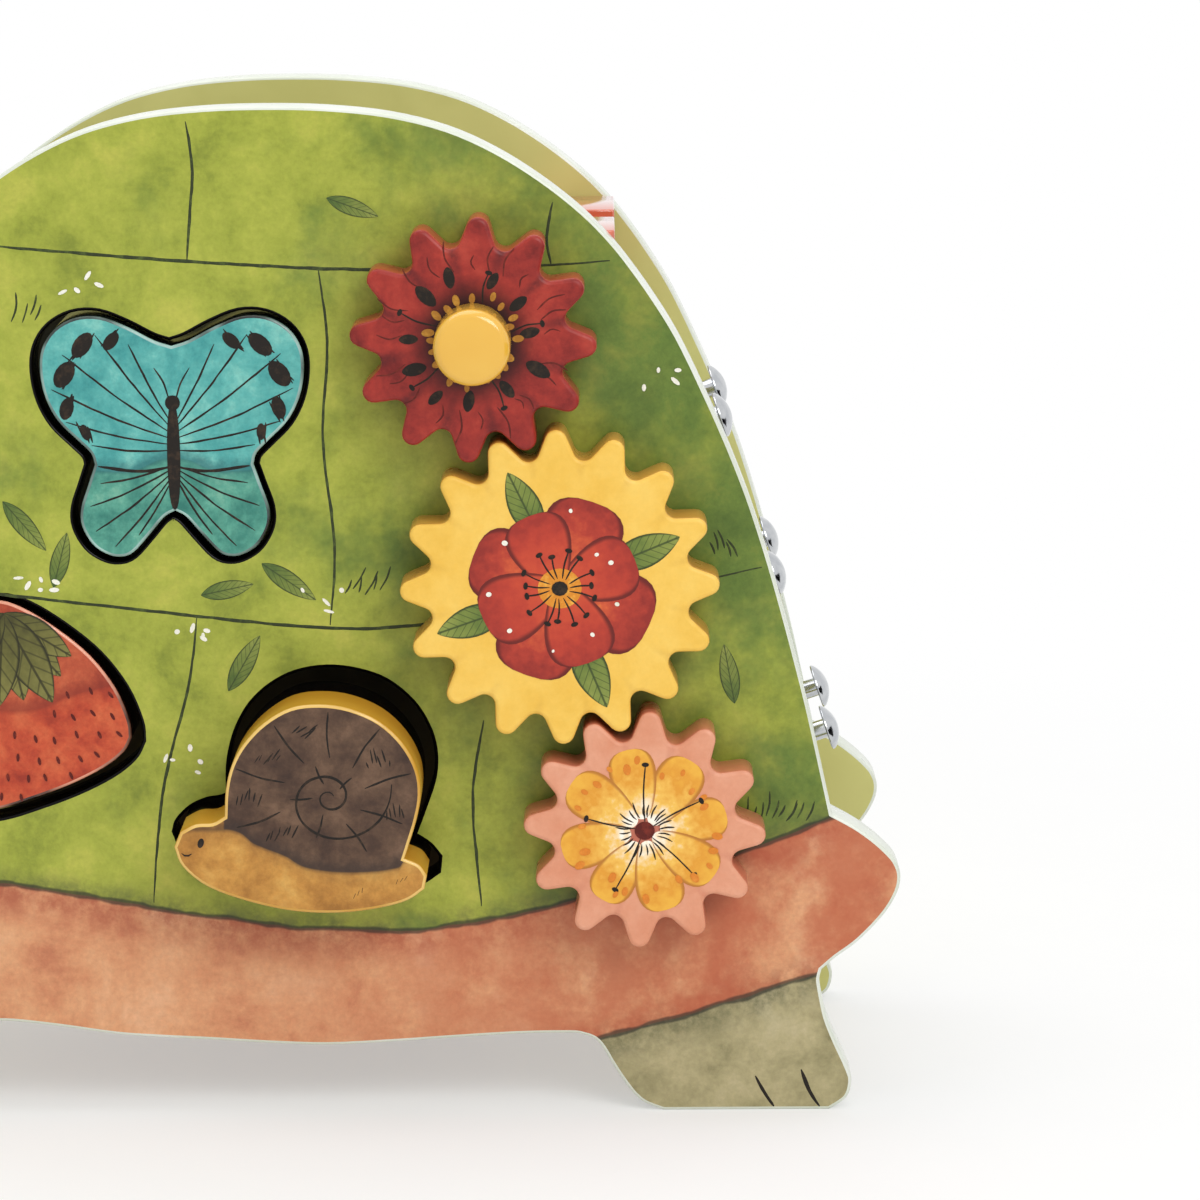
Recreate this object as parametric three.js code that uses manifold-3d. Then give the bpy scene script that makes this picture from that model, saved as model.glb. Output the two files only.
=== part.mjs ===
// A wooden activity toy in the shape of a tortoise: two equal painted panels stand side by side on
// their feet, with a hollow between them for the pieces that are pushed through the front.
// Three meshing gears turn on the front panel, the top one by a knob, three loose shapes sit in their
// cut-outs, and three chime bars lie on a slanted deck over the tail.
// Millimetres, +Z up. +X points to the tail, -Y to the painted front. The origin lies on the ground,
// in the middle of the box round the whole toy.

import * as THREE from 'three';
import { mergeVertices } from 'three/addons/utils/BufferGeometryUtils.js';
import Module from 'manifold-3d';

const wasm = await Module();
wasm.setup();

// Driving sizes of the panels.
const body_height = 265.7;
const shell_half_length = 162.8;
const panel_thickness = 12;
const inner_gap = 91;
const panel_edge_round = 0.9;

// Clearances.
const seat_gap = 0.3;
const running_gap = 0.3;
const shape_clearance = 1.6;
const cut_overrun = 2;

// The tail side's slope, which the gear train and the chime deck follow.
const tail_slope_deg = 18.6;

// The gear train.
const tooth_pitch_length = 15.08;
const red_teeth = 12;
const yellow_teeth = 16;
const pink_teeth = 12;
const tooth_rise = 2.5;
const tooth_depth = 4.9;
const tooth_tip_round = 2.9;
const tooth_root_round = 2.7;
const gear_thickness = 14.5;
const gear_edge_round = 0.9;
const first_red_tooth_deg = 87;
const spacer_thickness = 1.5;
const spacer_radius = 9;
const axle_radius = 4;
const axle_end_chamfer = 0.8;
const axle_seat_depth = 10.5;
const axle_tail = 1;
const collar_radius = 10;
const collar_thickness = 8;
const collar_edge_round = 1.2;

// The turning knob on the red gear.
const knob_radius = 9.7;
const knob_length = 15;
const knob_rim_round = 2.2;
const knob_foot_round = 0.6;
const knob_socket_depth = 9;

// The loose shapes.
const shape_thickness = 30;
const shape_edge_round = 1.3;
const butterfly_width = 68.9;
const butterfly_height = 64.1;
const butterfly_proud = 1.5;
const strawberry_width = 67.3;
const strawberry_height = 56.2;
const strawberry_proud = 0.6;
const snail_width = 64.3;
const snail_height = 54.3;
const snail_proud = 23;

// The chime deck.
const chime_count = 3;
const chime_pitch = 44.65;
const chime_bar_length = 86;
const chime_bar_width = 36;
const chime_bar_thickness = 3;
const chime_bar_corner = 4;
const chime_bar_edge_round = 0.5;
const chime_bar_drop = 10.5;
const chime_hole_radius = 3.4;
const pin_spacing = 53;
const pin_head_radius = 6.1;
const pin_head_height = 3.4;
const pin_rim_height = 0.5;
const pin_stem_radius = 2.55;
const pin_grip = 9;
const felt_width = 11;
const felt_thickness = 2.5;
const deck_thickness = 12;
const deck_end_margin = 8;
const deck_edge_round = 1;

// The beater rest over the shoulder, sunk below the dome's edge.
const rest_width = 22;
const rest_height = 19.3;
const rest_sink = 8.5;
const rest_notch_width = 18;
const rest_notch_depth = 8;
const rest_notch_offset = 1.6;
const rest_edge_round = 1.2;

// The floor of the hollow, raised above the belly's arch, and the block in the neck.
const floor_length = 187;
const floor_thickness = 10;
const floor_rise = 1.8;
const neck_block_width = 28;
const neck_block_height = 44;
const block_edge_round = 1;

// The glued dowels that join the blocks to the panels.
const dowel_radius = 3;
const dowel_length = 20;
const dowel_chamfer = 0.6;
const dowel_panel_depth = 7;
const floor_dowel_inset = 30;

// How finely round forms are divided.
const round_steps = 24;
const small_round_steps = 16;
const dowel_steps = 10;
const tip_steps = 4;
const root_steps = 3;
const head_dome_steps = 4;
const dome_run_steps = 3;
const run_steps = 2;

// The outline of a panel, run by run against the clock from the right end of the dome.
// Along in shares of the shell's half length, up in shares of the body's height.
const dome_shares = [
  [0.89, 0.303], [0.842, 0.435], [0.762, 0.609], [0.682, 0.729], [0.618, 0.804], [0.495, 0.898],
  [0.283, 0.978], [0, 1], [-0.283, 0.978], [-0.495, 0.898], [-0.618, 0.804], [-0.682, 0.729],
  [-0.762, 0.609], [-0.807, 0.539],
];
const head_shares = [
  [-0.807, 0.539], [-0.855, 0.562], [-0.931, 0.582], [-1.043, 0.604], [-1.155, 0.606],
  [-1.259, 0.574], [-1.324, 0.514], [-1.333, 0.455], [-1.286, 0.403], [-1.203, 0.373],
  [-1.12, 0.357], [-1.06, 0.333], [-1.01, 0.3], [-0.972, 0.272],
];
const chest_shares = [
  [-0.972, 0.272], [-0.997, 0.255], [-1, 0.235], [-0.974, 0.2], [-0.927, 0.17], [-0.874, 0.144],
  [-0.871, 0.131],
];
const front_leg_shares = [
  [-0.871, 0.131], [-0.882, 0.096], [-0.901, 0.066], [-0.922, 0.036], [-0.923, 0.026],
  [-0.915, 0.012], [-0.887, 0],
];
const belly_shares = [
  [-0.636, 0], [-0.604, 0.008], [-0.583, 0.022], [-0.554, 0.054], [-0.532, 0.078], [-0.5, 0.091],
  [-0.436, 0.095], [-0.268, 0.081], [-0.117, 0.075], [0.074, 0.069], [0.283, 0.076],
  [0.467, 0.08], [0.503, 0.075], [0.518, 0.066], [0.532, 0.051], [0.564, 0.021],
  [0.586, 0.008], [0.618, 0],
];
const rear_leg_shares = [
  [0.887, 0], [0.915, 0.012], [0.923, 0.026], [0.922, 0.036], [0.901, 0.066], [0.882, 0.096],
  [0.871, 0.131],
];
const tail_shares = [
  [0.871, 0.131], [0.874, 0.144], [0.927, 0.17], [0.974, 0.2], [0.997, 0.225], [1, 0.243],
  [0.986, 0.26], [0.935, 0.287], [0.89, 0.303],
];

// Places on the panels, along and up, in the same shares as the outline. The rest and the floor
// need only their place along.
const yellow_axis_shares = [0.4564, 0.542];
const chime_line_shares = [0.723, 0.6842];
const butterfly_place_shares = [-0.1628, 0.6778];
const strawberry_place_shares = [-0.4367, 0.4087];
const snail_place_shares = [0.0516, 0.3342];
const neck_block_place_shares = [-0.854, 0.4366];
const rest_along_share = 0.478;
const floor_along_share = -0.0215;

// The knob's rim, in shares of its round: outwards, then down.
const knob_rim_shares = [[0.29, 0.04], [0.7, 0.29], [0.96, 0.7]];

// The loose shapes, in shares of their own width and height from their middle.
const half_butterfly_shares = [
  [0, 0.372], [0.109, 0.43], [0.26, 0.492], [0.392, 0.488], [0.487, 0.405], [0.5, 0.269],
  [0.487, 0.128], [0.411, -0.004], [0.338, -0.078], [0.33, -0.12], [0.366, -0.202],
  [0.377, -0.322], [0.336, -0.438], [0.245, -0.5], [0.128, -0.45], [0.053, -0.368], [0, -0.335],
];
const strawberry_shares = [
  [0.5, -0.15], [0.47, -0.24], [0.36, -0.34], [0.19, -0.44], [0, -0.5], [-0.23, -0.5],
  [-0.42, -0.42], [-0.5, -0.28], [-0.49, -0.07], [-0.42, 0.17], [-0.28, 0.37], [-0.11, 0.49],
  [0.06, 0.5], [0.2, 0.42], [0.35, 0.25], [0.46, 0.04],
];
const snail_shell_shares = [
  [0.415, -0.255], [0.44, -0.15], [0.47, -0.05], [0.48, 0.09], [0.45, 0.24], [0.36, 0.37],
  [0.25, 0.46], [0.12, 0.5], [0.01, 0.49], [-0.11, 0.42], [-0.2, 0.32], [-0.26, 0.21],
  [-0.29, 0.06], [-0.31, -0.07],
];
const snail_foot_shares = [
  [-0.31, -0.07], [-0.39, -0.065], [-0.46, -0.11], [-0.5, -0.21], [-0.47, -0.3], [-0.39, -0.37],
  [-0.18, -0.45], [0.01, -0.5], [0.16, -0.5], [0.32, -0.47], [0.45, -0.42], [0.5, -0.35],
  [0.48, -0.3], [0.415, -0.255],
];

// Worked out from the sizes above.
const front_inner = -inner_gap / 2;
const front_face = front_inner - panel_thickness;
const gear_back = front_face - seat_gap - spacer_thickness - seat_gap;
const gear_front = gear_back - gear_thickness;
const collar_back = front_inner + seat_gap + collar_thickness;
const pitch_radius = (teeth) => (teeth * tooth_pitch_length) / (2 * Math.PI);
const tail_slope = THREE.MathUtils.degToRad(tail_slope_deg);

// The line from gear to gear and the chime deck both follow the slope of the tail side.
const down_slope = new THREE.Vector2(Math.sin(tail_slope), -Math.cos(tail_slope));

// A place on the panels: x along from the line through the top of the shell, y up from the ground.
function placeOf([along, up]) {
  return new THREE.Vector2(along * shell_half_length, up * body_height);
}

const yellow_axis = placeOf(yellow_axis_shares);
const chime_line = placeOf(chime_line_shares);
const butterfly_place = placeOf(butterfly_place_shares);
const strawberry_place = placeOf(strawberry_place_shares);
const snail_place = placeOf(snail_place_shares);
const neck_block_place = placeOf(neck_block_place_shares);

// Solids

// A closed mesh with shared corners and no empty triangles.
function closed(geometry) {
  geometry.deleteAttribute('normal');
  geometry.deleteAttribute('uv');
  const merged = mergeVertices(geometry);
  const corners = merged.index.array;
  const kept = [];
  for (let i = 0; i < corners.length; i += 3) {
    const [a, b, c] = [corners[i], corners[i + 1], corners[i + 2]];
    if (a !== b && b !== c && c !== a) {
      kept.push(a, b, c);
    }
  }
  merged.setIndex(kept);
  merged.computeVertexNormals();
  return merged;
}

function toSolid(geometry) {
  return new wasm.Manifold(new wasm.Mesh({
    numProp: 3,
    vertProperties: Float32Array.from(geometry.attributes.position.array),
    triVerts: Uint32Array.from(geometry.index.array),
  }));
}

function toGeometry(solid) {
  const mesh = solid.getMesh();
  const geometry = new THREE.BufferGeometry();
  geometry.setAttribute('position', new THREE.BufferAttribute(mesh.vertProperties, 3));
  geometry.setIndex(new THREE.BufferAttribute(mesh.triVerts, 1));
  geometry.computeVertexNormals();
  return geometry;
}

// Takes every tool out of a body.
function cut(body, tools) {
  let solid = toSolid(body);
  for (const tool of tools) {
    solid = solid.subtract(toSolid(tool));
  }
  return toGeometry(solid);
}

// Outlines, as points seen from the front: x along, y up.

// A smooth open run through the points.
function run(points, steps_between) {
  const curve = new THREE.CatmullRomCurve3(points.map((p) => new THREE.Vector3(p.x, p.y, 0)));
  curve.curveType = 'centripetal';
  const fine = curve.getPoints((points.length - 1) * steps_between);
  return fine.map((p) => new THREE.Vector2(p.x, p.y));
}

// Joins open runs that share their ends into one closed outline.
function outlineOf(runs) {
  return runs.flatMap((points) => points.slice(0, -1));
}

function fromShares(shares, width, height) {
  return shares.map(([along, up]) => new THREE.Vector2(along * width, up * height));
}

// A smooth closed outline through the points.
function loop(points, steps_between) {
  const curve = new THREE.CatmullRomCurve3(points.map((p) => new THREE.Vector3(p.x, p.y, 0)), true);
  curve.curveType = 'centripetal';
  const fine = curve.getPoints(points.length * steps_between).slice(0, -1);
  return fine.map((p) => new THREE.Vector2(p.x, p.y));
}

// The outline moved outwards by a distance.
function grown(points, distance) {
  const outward = THREE.ShapeUtils.area(points) > 0 ? 1 : -1;
  return points.map((point, i) => {
    const before = points[(i + points.length - 1) % points.length];
    const after = points[(i + 1) % points.length];
    const side = after.clone().sub(before).normalize();
    const normal = new THREE.Vector2(side.y, -side.x).multiplyScalar(outward);
    return point.clone().addScaledVector(normal, distance);
  });
}

function rectangle(width, height) {
  const x = width / 2;
  const y = height / 2;
  return [[-x, -y], [x, -y], [x, y], [-x, y]].map(([a, b]) => new THREE.Vector2(a, b));
}

// A rectangle with round corners.
function roundedRectangle(width, height, corner) {
  const corner_sides = [[1, 1], [-1, 1], [-1, -1], [1, -1]];
  return corner_sides.flatMap(([right, up], quarter) => {
    const middle = new THREE.Vector2(right * (width / 2 - corner), up * (height / 2 - corner));
    return Array.from({ length: root_steps + 1 }, (_, step) => {
      const angle = ((quarter + step / root_steps) * Math.PI) / 2;
      return new THREE.Vector2(Math.cos(angle), Math.sin(angle)).multiplyScalar(corner).add(middle);
    });
  });
}

// A board cut to an outline, with its front face at y = front and softened edges.
function board(outline, thickness, front, edge_round) {
  const geometry = new THREE.ExtrudeGeometry(new THREE.Shape(outline), {
    depth: thickness - 2 * edge_round,
    bevelEnabled: edge_round > 0,
    bevelThickness: edge_round,
    bevelSize: edge_round,
    bevelOffset: -edge_round,
    bevelSegments: edge_round > 0 ? 1 : 0,
    steps: 1,
  });
  geometry.rotateX(Math.PI / 2);
  geometry.translate(0, front + thickness - edge_round, 0);
  return closed(geometry);
}

// A turned piece along Y, from a profile of [radius, y] pairs that starts and ends on the axis.
function turned(profile, steps) {
  const points = profile.map(([radius, y]) => new THREE.Vector2(radius, y));
  return closed(new THREE.LatheGeometry(points, steps));
}

// A plain round tool or rod along Y, between two places.
function rod(radius, y_from, y_to, steps) {
  const geometry = new THREE.CylinderGeometry(radius, radius, y_to - y_from, steps);
  geometry.translate(0, (y_from + y_to) / 2, 0);
  return closed(geometry);
}

// A rod whose two ends are chamfered.
function chamferedRod(radius, y_from, y_to, chamfer, steps) {
  return turned([
    [0, y_from], [radius - chamfer, y_from], [radius, y_from + chamfer],
    [radius, y_to - chamfer], [radius - chamfer, y_to], [0, y_to],
  ], steps);
}

// Names, colours and places

const toy = new THREE.Group();
const body = new THREE.Group();
toy.add(body);

function place(group, name, geometry, color, roughness, metalness = 0) {
  const material = new THREE.MeshStandardMaterial({ color, roughness, metalness, flatShading: true });
  const mesh = new THREE.Mesh(geometry, material);
  mesh.name = name;
  group.add(mesh);
  return mesh;
}

const paint = {
  front_green: 0x9aa83c,
  back_olive: 0xb4ac66,
  bare_wood: 0xd9bf94,
  red: 0xb8402f,
  yellow: 0xedc45c,
  pink: 0xe2967b,
  teal: 0x64b0a8,
  strawberry: 0xd2563a,
  mustard: 0xd9a24a,
  coral: 0xd9704e,
  felt: 0x4c5a4a,
  bar_steel: 0xc9ccce,
  chrome: 0xe6e8ea,
};

// The outline of both panels. The two feet end in sharp corners on the ground.
const panel_runs = [
  [dome_shares, dome_run_steps],
  [head_shares, run_steps],
  [chest_shares, run_steps],
  [front_leg_shares, run_steps],
  [belly_shares, run_steps],
  [rear_leg_shares, run_steps],
  [tail_shares, run_steps],
];

const panel_outline = outlineOf(panel_runs.map(([shares, steps]) => {
  const points = run(fromShares(shares, shell_half_length, body_height), steps);
  return shares === front_leg_shares || shares === belly_shares
    ? [...points, points[points.length - 1]]
    : points;
}));

// How high the edge of the dome lies over a place along the panels.
function domeHeight(along) {
  const edge = run(fromShares(dome_shares, shell_half_length, body_height), dome_run_steps);
  const left = edge.findIndex((point) => point.x <= along);
  const [a, b] = [edge[left - 1], edge[left]];
  return THREE.MathUtils.mapLinear(along, a.x, b.x, a.y, b.y);
}

// The chime deck's own frame: x runs down the slope, z stands square to it, y stays across the toy.
const deck = new THREE.Group();
deck.position.set(chime_line.x, 0, chime_line.y);
deck.rotation.y = Math.PI / 2 - tail_slope;
body.add(deck);

const bar_bottom = -chime_bar_drop - chime_bar_thickness;
const felt_bottom = bar_bottom - seat_gap - felt_thickness;
const deck_top = felt_bottom - seat_gap;
const deck_bottom = deck_top - deck_thickness;
const deck_middle = (deck_top + deck_bottom) / 2;
const chime_places = Array.from({ length: chime_count }, (_, i) => i * chime_pitch);
const chime_run = (chime_count - 1) * chime_pitch;
const deck_start = -chime_bar_width / 2 - deck_end_margin;
const deck_length = chime_run + chime_bar_width + 2 * deck_end_margin;

// A place on the deck, [down the slope, out], as a place on the panel.
function onPanel(down, out) {
  return new THREE.Vector2(-down_slope.y, down_slope.x).multiplyScalar(out)
    .addScaledVector(down_slope, down)
    .add(chime_line);
}

// The middle of the floor, and of the rest's upper face.
const belly_arch_up = Math.max(...belly_shares.map(([, up]) => up)) * body_height;
const floor_middle = new THREE.Vector2(
  floor_along_share * shell_half_length,
  belly_arch_up + floor_rise + floor_thickness / 2,
);
const rest_along = rest_along_share * shell_half_length;
const rest_top = new THREE.Vector2(rest_along, domeHeight(rest_along) - rest_sink);

// Dowels: their places on the panels, by the block that they hold. Those of the deck lie halfway
// between two bars, clear of the pins.
const block_span = inner_gap - 2 * seat_gap;
const deck_dowels = chime_places.slice(1).map((down) => down - chime_pitch / 2);
const dowel_places = {
  floor: [-1, 1].map((side) => new THREE.Vector2(side * (floor_length / 2 - floor_dowel_inset), 0)
    .add(floor_middle)),
  neck: [-1, 1].map((side) => new THREE.Vector2(0, (side * neck_block_height) / 4)
    .add(neck_block_place)),
  rest: [new THREE.Vector2(0, -(rest_height + rest_notch_depth) / 2).add(rest_top)],
  deck: deck_dowels.map((down) => onPanel(down, deck_middle)),
};
const dowel_hole_radius = dowel_radius + seat_gap;
const dowel_front = front_inner - dowel_panel_depth;

// A round tool across the toy at a place on the panels.
function crossTool(radius, at, y_from, y_to, steps = small_round_steps) {
  return rod(radius, y_from, y_to, steps).translate(at.x, 0, at.y);
}

// The blind hole for a dowel, in both the panel and the block; side is -1 in front and 1 behind.
function dowelHole(at, side) {
  const ends = [
    side * (-dowel_front + seat_gap),
    side * (-dowel_front - dowel_length - seat_gap),
  ].sort((a, b) => a - b);
  return crossTool(dowel_hole_radius, at, ends[0], ends[1], dowel_steps);
}

function dowelHoles(places) {
  return places.flatMap((at) => [dowelHole(at, -1), dowelHole(at, 1)]);
}

// Gears: centres down the slope from the yellow one, which sits in the middle.

const red_axis = yellow_axis.clone()
  .addScaledVector(down_slope, -pitch_radius(red_teeth) - pitch_radius(yellow_teeth));
const pink_axis = yellow_axis.clone()
  .addScaledVector(down_slope, pitch_radius(pink_teeth) + pitch_radius(yellow_teeth));

// A wheel with round-tipped teeth. Each flank is the straight line that touches the tip round and
// the root round next to it.
function gearOutline(teeth, first_tooth) {
  const outer = pitch_radius(teeth) + tooth_rise;
  const root = pitch_radius(teeth) - tooth_depth;
  const half_pitch = Math.PI / teeth;
  const tip = new THREE.Vector2(outer - tooth_tip_round, 0);
  const valley_radius = root + tooth_root_round;
  const valley = new THREE.Vector2(Math.cos(half_pitch), Math.sin(half_pitch))
    .multiplyScalar(valley_radius);
  const between = valley.clone().sub(tip);
  const lean = Math.asin((tooth_tip_round + tooth_root_round) / between.length());
  const flank_normal = between.angle() - Math.PI / 2 + lean;
  const points = [];
  for (let tooth = 0; tooth < teeth; tooth += 1) {
    const turn = first_tooth + tooth * 2 * half_pitch;
    const add = (centre, radius, angle) => {
      const point = new THREE.Vector2(Math.cos(angle), Math.sin(angle)).multiplyScalar(radius);
      points.push(point.add(centre).rotateAround(new THREE.Vector2(), turn));
    };
    for (let step = 0; step <= tip_steps; step += 1) {
      add(tip, tooth_tip_round, -flank_normal + (2 * flank_normal * step) / tip_steps);
    }
    const valley_start = flank_normal + Math.PI;
    const valley_end = 2 * half_pitch - flank_normal + Math.PI;
    for (let step = 0; step <= root_steps; step += 1) {
      const angle = valley_start + ((valley_end - valley_start) * step) / root_steps;
      add(valley, tooth_root_round, angle);
    }
  }
  return points;
}

// The first tooth of the driven wheel, so that its gap stands where the driver has a tooth.
function toothInMesh(driver_teeth, driver_tooth, driven_teeth, towards) {
  const driver_pitch = (2 * Math.PI) / driver_teeth;
  const driven_pitch = (2 * Math.PI) / driven_teeth;
  const past_tooth = (towards - driver_tooth) / driver_pitch;
  const share = past_tooth - Math.floor(past_tooth);
  return towards + Math.PI + (share - 1 / 2) * driven_pitch;
}

const gear_line = down_slope.angle();
const red_tooth = THREE.MathUtils.degToRad(first_red_tooth_deg);
const yellow_tooth = toothInMesh(red_teeth, red_tooth, yellow_teeth, gear_line);
const pink_tooth = toothInMesh(yellow_teeth, yellow_tooth, pink_teeth, gear_line);
const axle_hole_radius = axle_radius + seat_gap;

// One wheel with what it turns on: a spacer in front of the panel, an axle glued into the wheel,
// and a wooden collar on the axle's end behind the panel. The driving wheel's axle runs through it.
function addGear(name, teeth, first_tooth, axis, color, axle_through) {
  const wheel = new THREE.Group();
  wheel.position.set(axis.x, 0, axis.y);
  body.add(wheel);

  const hole_front = axle_through ? gear_front - cut_overrun : gear_back - axle_seat_depth;
  const blank = board(gearOutline(teeth, first_tooth), gear_thickness, gear_front, gear_edge_round);
  const bored = cut(blank, [
    rod(axle_hole_radius, hole_front, gear_back + cut_overrun, small_round_steps),
  ]);
  place(wheel, `${name}_gear`, bored, color, 0.35);

  const spacer_front = gear_back + seat_gap;
  place(wheel, `${name}_spacer`, cut(
    rod(spacer_radius, spacer_front, spacer_front + spacer_thickness, round_steps),
    [rod(axle_radius + running_gap, spacer_front - cut_overrun, front_face, small_round_steps)],
  ), paint.bare_wood, 0.6);

  const axle_front = axle_through
    ? gear_front - knob_socket_depth
    : hole_front + seat_gap;
  place(wheel, `${name}_axle`, chamferedRod(
    axle_radius,
    axle_front,
    collar_back + axle_tail,
    axle_end_chamfer,
    small_round_steps,
  ), paint.bare_wood, 0.6);

  const collar_front = front_inner + seat_gap;
  const collar = turned([
    [0, collar_front], [collar_radius, collar_front],
    [collar_radius, collar_back - collar_edge_round],
    [collar_radius - collar_edge_round, collar_back], [0, collar_back],
  ], round_steps);
  place(wheel, `${name}_collar`, cut(collar, [
    rod(axle_hole_radius, collar_front - cut_overrun, collar_back + cut_overrun, small_round_steps),
  ]), paint.bare_wood, 0.6);
}

addGear('red', red_teeth, red_tooth, red_axis, paint.red, true);
addGear('yellow', yellow_teeth, yellow_tooth, yellow_axis, paint.yellow, false);
addGear('pink', pink_teeth, pink_tooth, pink_axis, paint.pink, false);

// The knob: a round peg head that caps the red wheel's axle.
function addKnob() {
  const foot = gear_front - seat_gap;
  const crown = foot - knob_length;
  const profile = [[0, crown], [knob_radius - knob_rim_round, crown]];
  for (const [outward, down] of knob_rim_shares) {
    profile.push([
      knob_radius - knob_rim_round + outward * knob_rim_round,
      crown + down * knob_rim_round,
    ]);
  }
  profile.push(
    [knob_radius, crown + knob_rim_round],
    [knob_radius, foot - knob_foot_round],
    [knob_radius - knob_foot_round, foot],
    [0, foot],
  );
  const socket_floor = gear_front - knob_socket_depth - seat_gap;
  const knob = cut(turned(profile, round_steps), [
    rod(axle_hole_radius, socket_floor, foot + cut_overrun, small_round_steps),
  ]);
  place(body, 'turning_knob', knob, paint.yellow, 0.25).position.set(red_axis.x, 0, red_axis.y);
}
addKnob();

// The loose shapes. Each sinks in its cut-out until it rests on the lower edge.

const shape_drop = shape_clearance - seat_gap;

function butterflyOutline() {
  const right = fromShares(half_butterfly_shares, butterfly_width, butterfly_height);
  const left = right.slice(1, -1).reverse().map((p) => new THREE.Vector2(-p.x, p.y));
  return loop([...right, ...left], 2);
}

function strawberryOutline() {
  return loop(fromShares(strawberry_shares, strawberry_width, strawberry_height), 3);
}

function snailOutline() {
  return outlineOf([snail_shell_shares, snail_foot_shares]
    .map((shares) => run(fromShares(shares, snail_width, snail_height), run_steps)));
}

const shapes = [
  {
    name: 'butterfly_piece',
    outline: butterflyOutline(),
    at: butterfly_place,
    proud: butterfly_proud,
    color: paint.teal,
  },
  {
    name: 'strawberry_piece',
    outline: strawberryOutline(),
    at: strawberry_place,
    proud: strawberry_proud,
    color: paint.strawberry,
  },
  {
    name: 'snail_piece',
    outline: snailOutline(),
    at: snail_place,
    proud: snail_proud,
    color: paint.mustard,
  },
];

for (const shape of shapes) {
  const block = board(shape.outline, shape_thickness, front_face - shape.proud, shape_edge_round);
  place(body, shape.name, block, shape.color, 0.4)
    .position.set(shape.at.x, 0, shape.at.y - shape_drop);
}

// Panels

const shape_cutters = shapes.map((shape) => board(
  grown(shape.outline, shape_clearance),
  panel_thickness + 2 * cut_overrun,
  front_face - cut_overrun,
  0,
).translate(shape.at.x, 0, shape.at.y));

const axle_cutters = [red_axis, yellow_axis, pink_axis].map((axis) => crossTool(
  axle_radius + running_gap,
  axis,
  front_face - cut_overrun,
  front_inner + cut_overrun,
));

const all_dowels = Object.values(dowel_places).flat();

place(body, 'front_panel', cut(
  board(panel_outline, panel_thickness, front_face, panel_edge_round),
  [...shape_cutters, ...axle_cutters, ...all_dowels.map((at) => dowelHole(at, -1))],
), paint.front_green, 0.4);

place(body, 'back_panel', cut(
  board(panel_outline, panel_thickness, -front_inner, panel_edge_round),
  all_dowels.map((at) => dowelHole(at, 1)),
), paint.back_olive, 0.35);

// Blocks between the panels

// A block of rectangular section that spans the gap between the panels.
function spanningBlock(width, height, edge_round) {
  return board(rectangle(width, height), block_span, -block_span / 2, edge_round);
}

const floor_block = spanningBlock(floor_length, floor_thickness, block_edge_round)
  .translate(floor_middle.x, 0, floor_middle.y);
place(body, 'hollow_floor', cut(floor_block, dowelHoles(dowel_places.floor)), paint.bare_wood, 0.6);

const neck_block = spanningBlock(neck_block_width, neck_block_height, block_edge_round)
  .translate(neck_block_place.x, 0, neck_block_place.y);
place(body, 'neck_block', cut(neck_block, dowelHoles(dowel_places.neck)), paint.bare_wood, 0.6);

// The rest is notched across the middle, so that a beater's stick can lie in it.
const rest_block = spanningBlock(rest_width, rest_height, rest_edge_round)
  .translate(rest_top.x, 0, rest_top.y - rest_height / 2);
const notch_tool = board(
  rectangle(rest_width + 2 * cut_overrun, 2 * rest_notch_depth),
  rest_notch_width,
  -rest_notch_offset - rest_notch_width / 2,
  0,
).translate(rest_top.x, 0, rest_top.y);
place(
  body,
  'beater_rest',
  cut(rest_block, [notch_tool, ...dowelHoles(dowel_places.rest)]),
  paint.coral,
  0.2,
);

// The chime deck

const pin_rows = [-pin_spacing / 2, pin_spacing / 2];
const pin_bottom = deck_top - pin_grip;

// A hole square to the deck.
function deckHole(radius, down, across, out_from, out_to) {
  return rod(radius, out_from, out_to, small_round_steps)
    .rotateX(Math.PI / 2)
    .translate(down, across, 0);
}

const pin_holes = chime_places.flatMap((down) => pin_rows.map((across) => deckHole(
  pin_stem_radius + seat_gap,
  down,
  across,
  pin_bottom - seat_gap,
  deck_top + cut_overrun,
)));

// The deck's dowel holes lie across it, at the same places as those in the panels.
const deck_dowel_holes = [-1, 1].flatMap((side) => deck_dowels.map((down) => dowelHole(
  new THREE.Vector2(down, deck_middle),
  side,
)));

const deck_board = board(
  rectangle(deck_length, deck_thickness),
  block_span,
  -block_span / 2,
  deck_edge_round,
).translate(deck_start + deck_length / 2, 0, deck_middle);
place(deck, 'chime_deck', cut(deck_board, [...pin_holes, ...deck_dowel_holes]), paint.bare_wood, 0.6);

// Two felt strips carry the bars where the pins hold them.
pin_rows.forEach((across, row) => {
  const section = rectangle(chime_run + chime_bar_width, felt_thickness);
  const strip = board(section, felt_width, -felt_width / 2, 0)
    .translate(chime_run / 2, across, felt_bottom + felt_thickness / 2);
  const holes = chime_places.map((down) => deckHole(
    chime_hole_radius,
    down,
    across,
    felt_bottom - cut_overrun,
    bar_bottom + cut_overrun,
  ));
  place(deck, `felt_strip_${row + 1}`, cut(strip, holes), paint.felt, 0.95);
});

chime_places.forEach((down, bar) => {
  const plate = board(
    roundedRectangle(chime_bar_width, chime_bar_length, chime_bar_corner),
    chime_bar_thickness,
    bar_bottom,
    chime_bar_edge_round,
  ).rotateX(Math.PI / 2).translate(down, 0, 0);
  const holes = pin_rows.map((across) => deckHole(
    chime_hole_radius,
    down,
    across,
    bar_bottom - cut_overrun,
    -chime_bar_drop + cut_overrun,
  ));
  place(deck, `chime_bar_${bar + 1}`, cut(plate, holes), paint.bar_steel, 0.3, 1);
});

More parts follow.
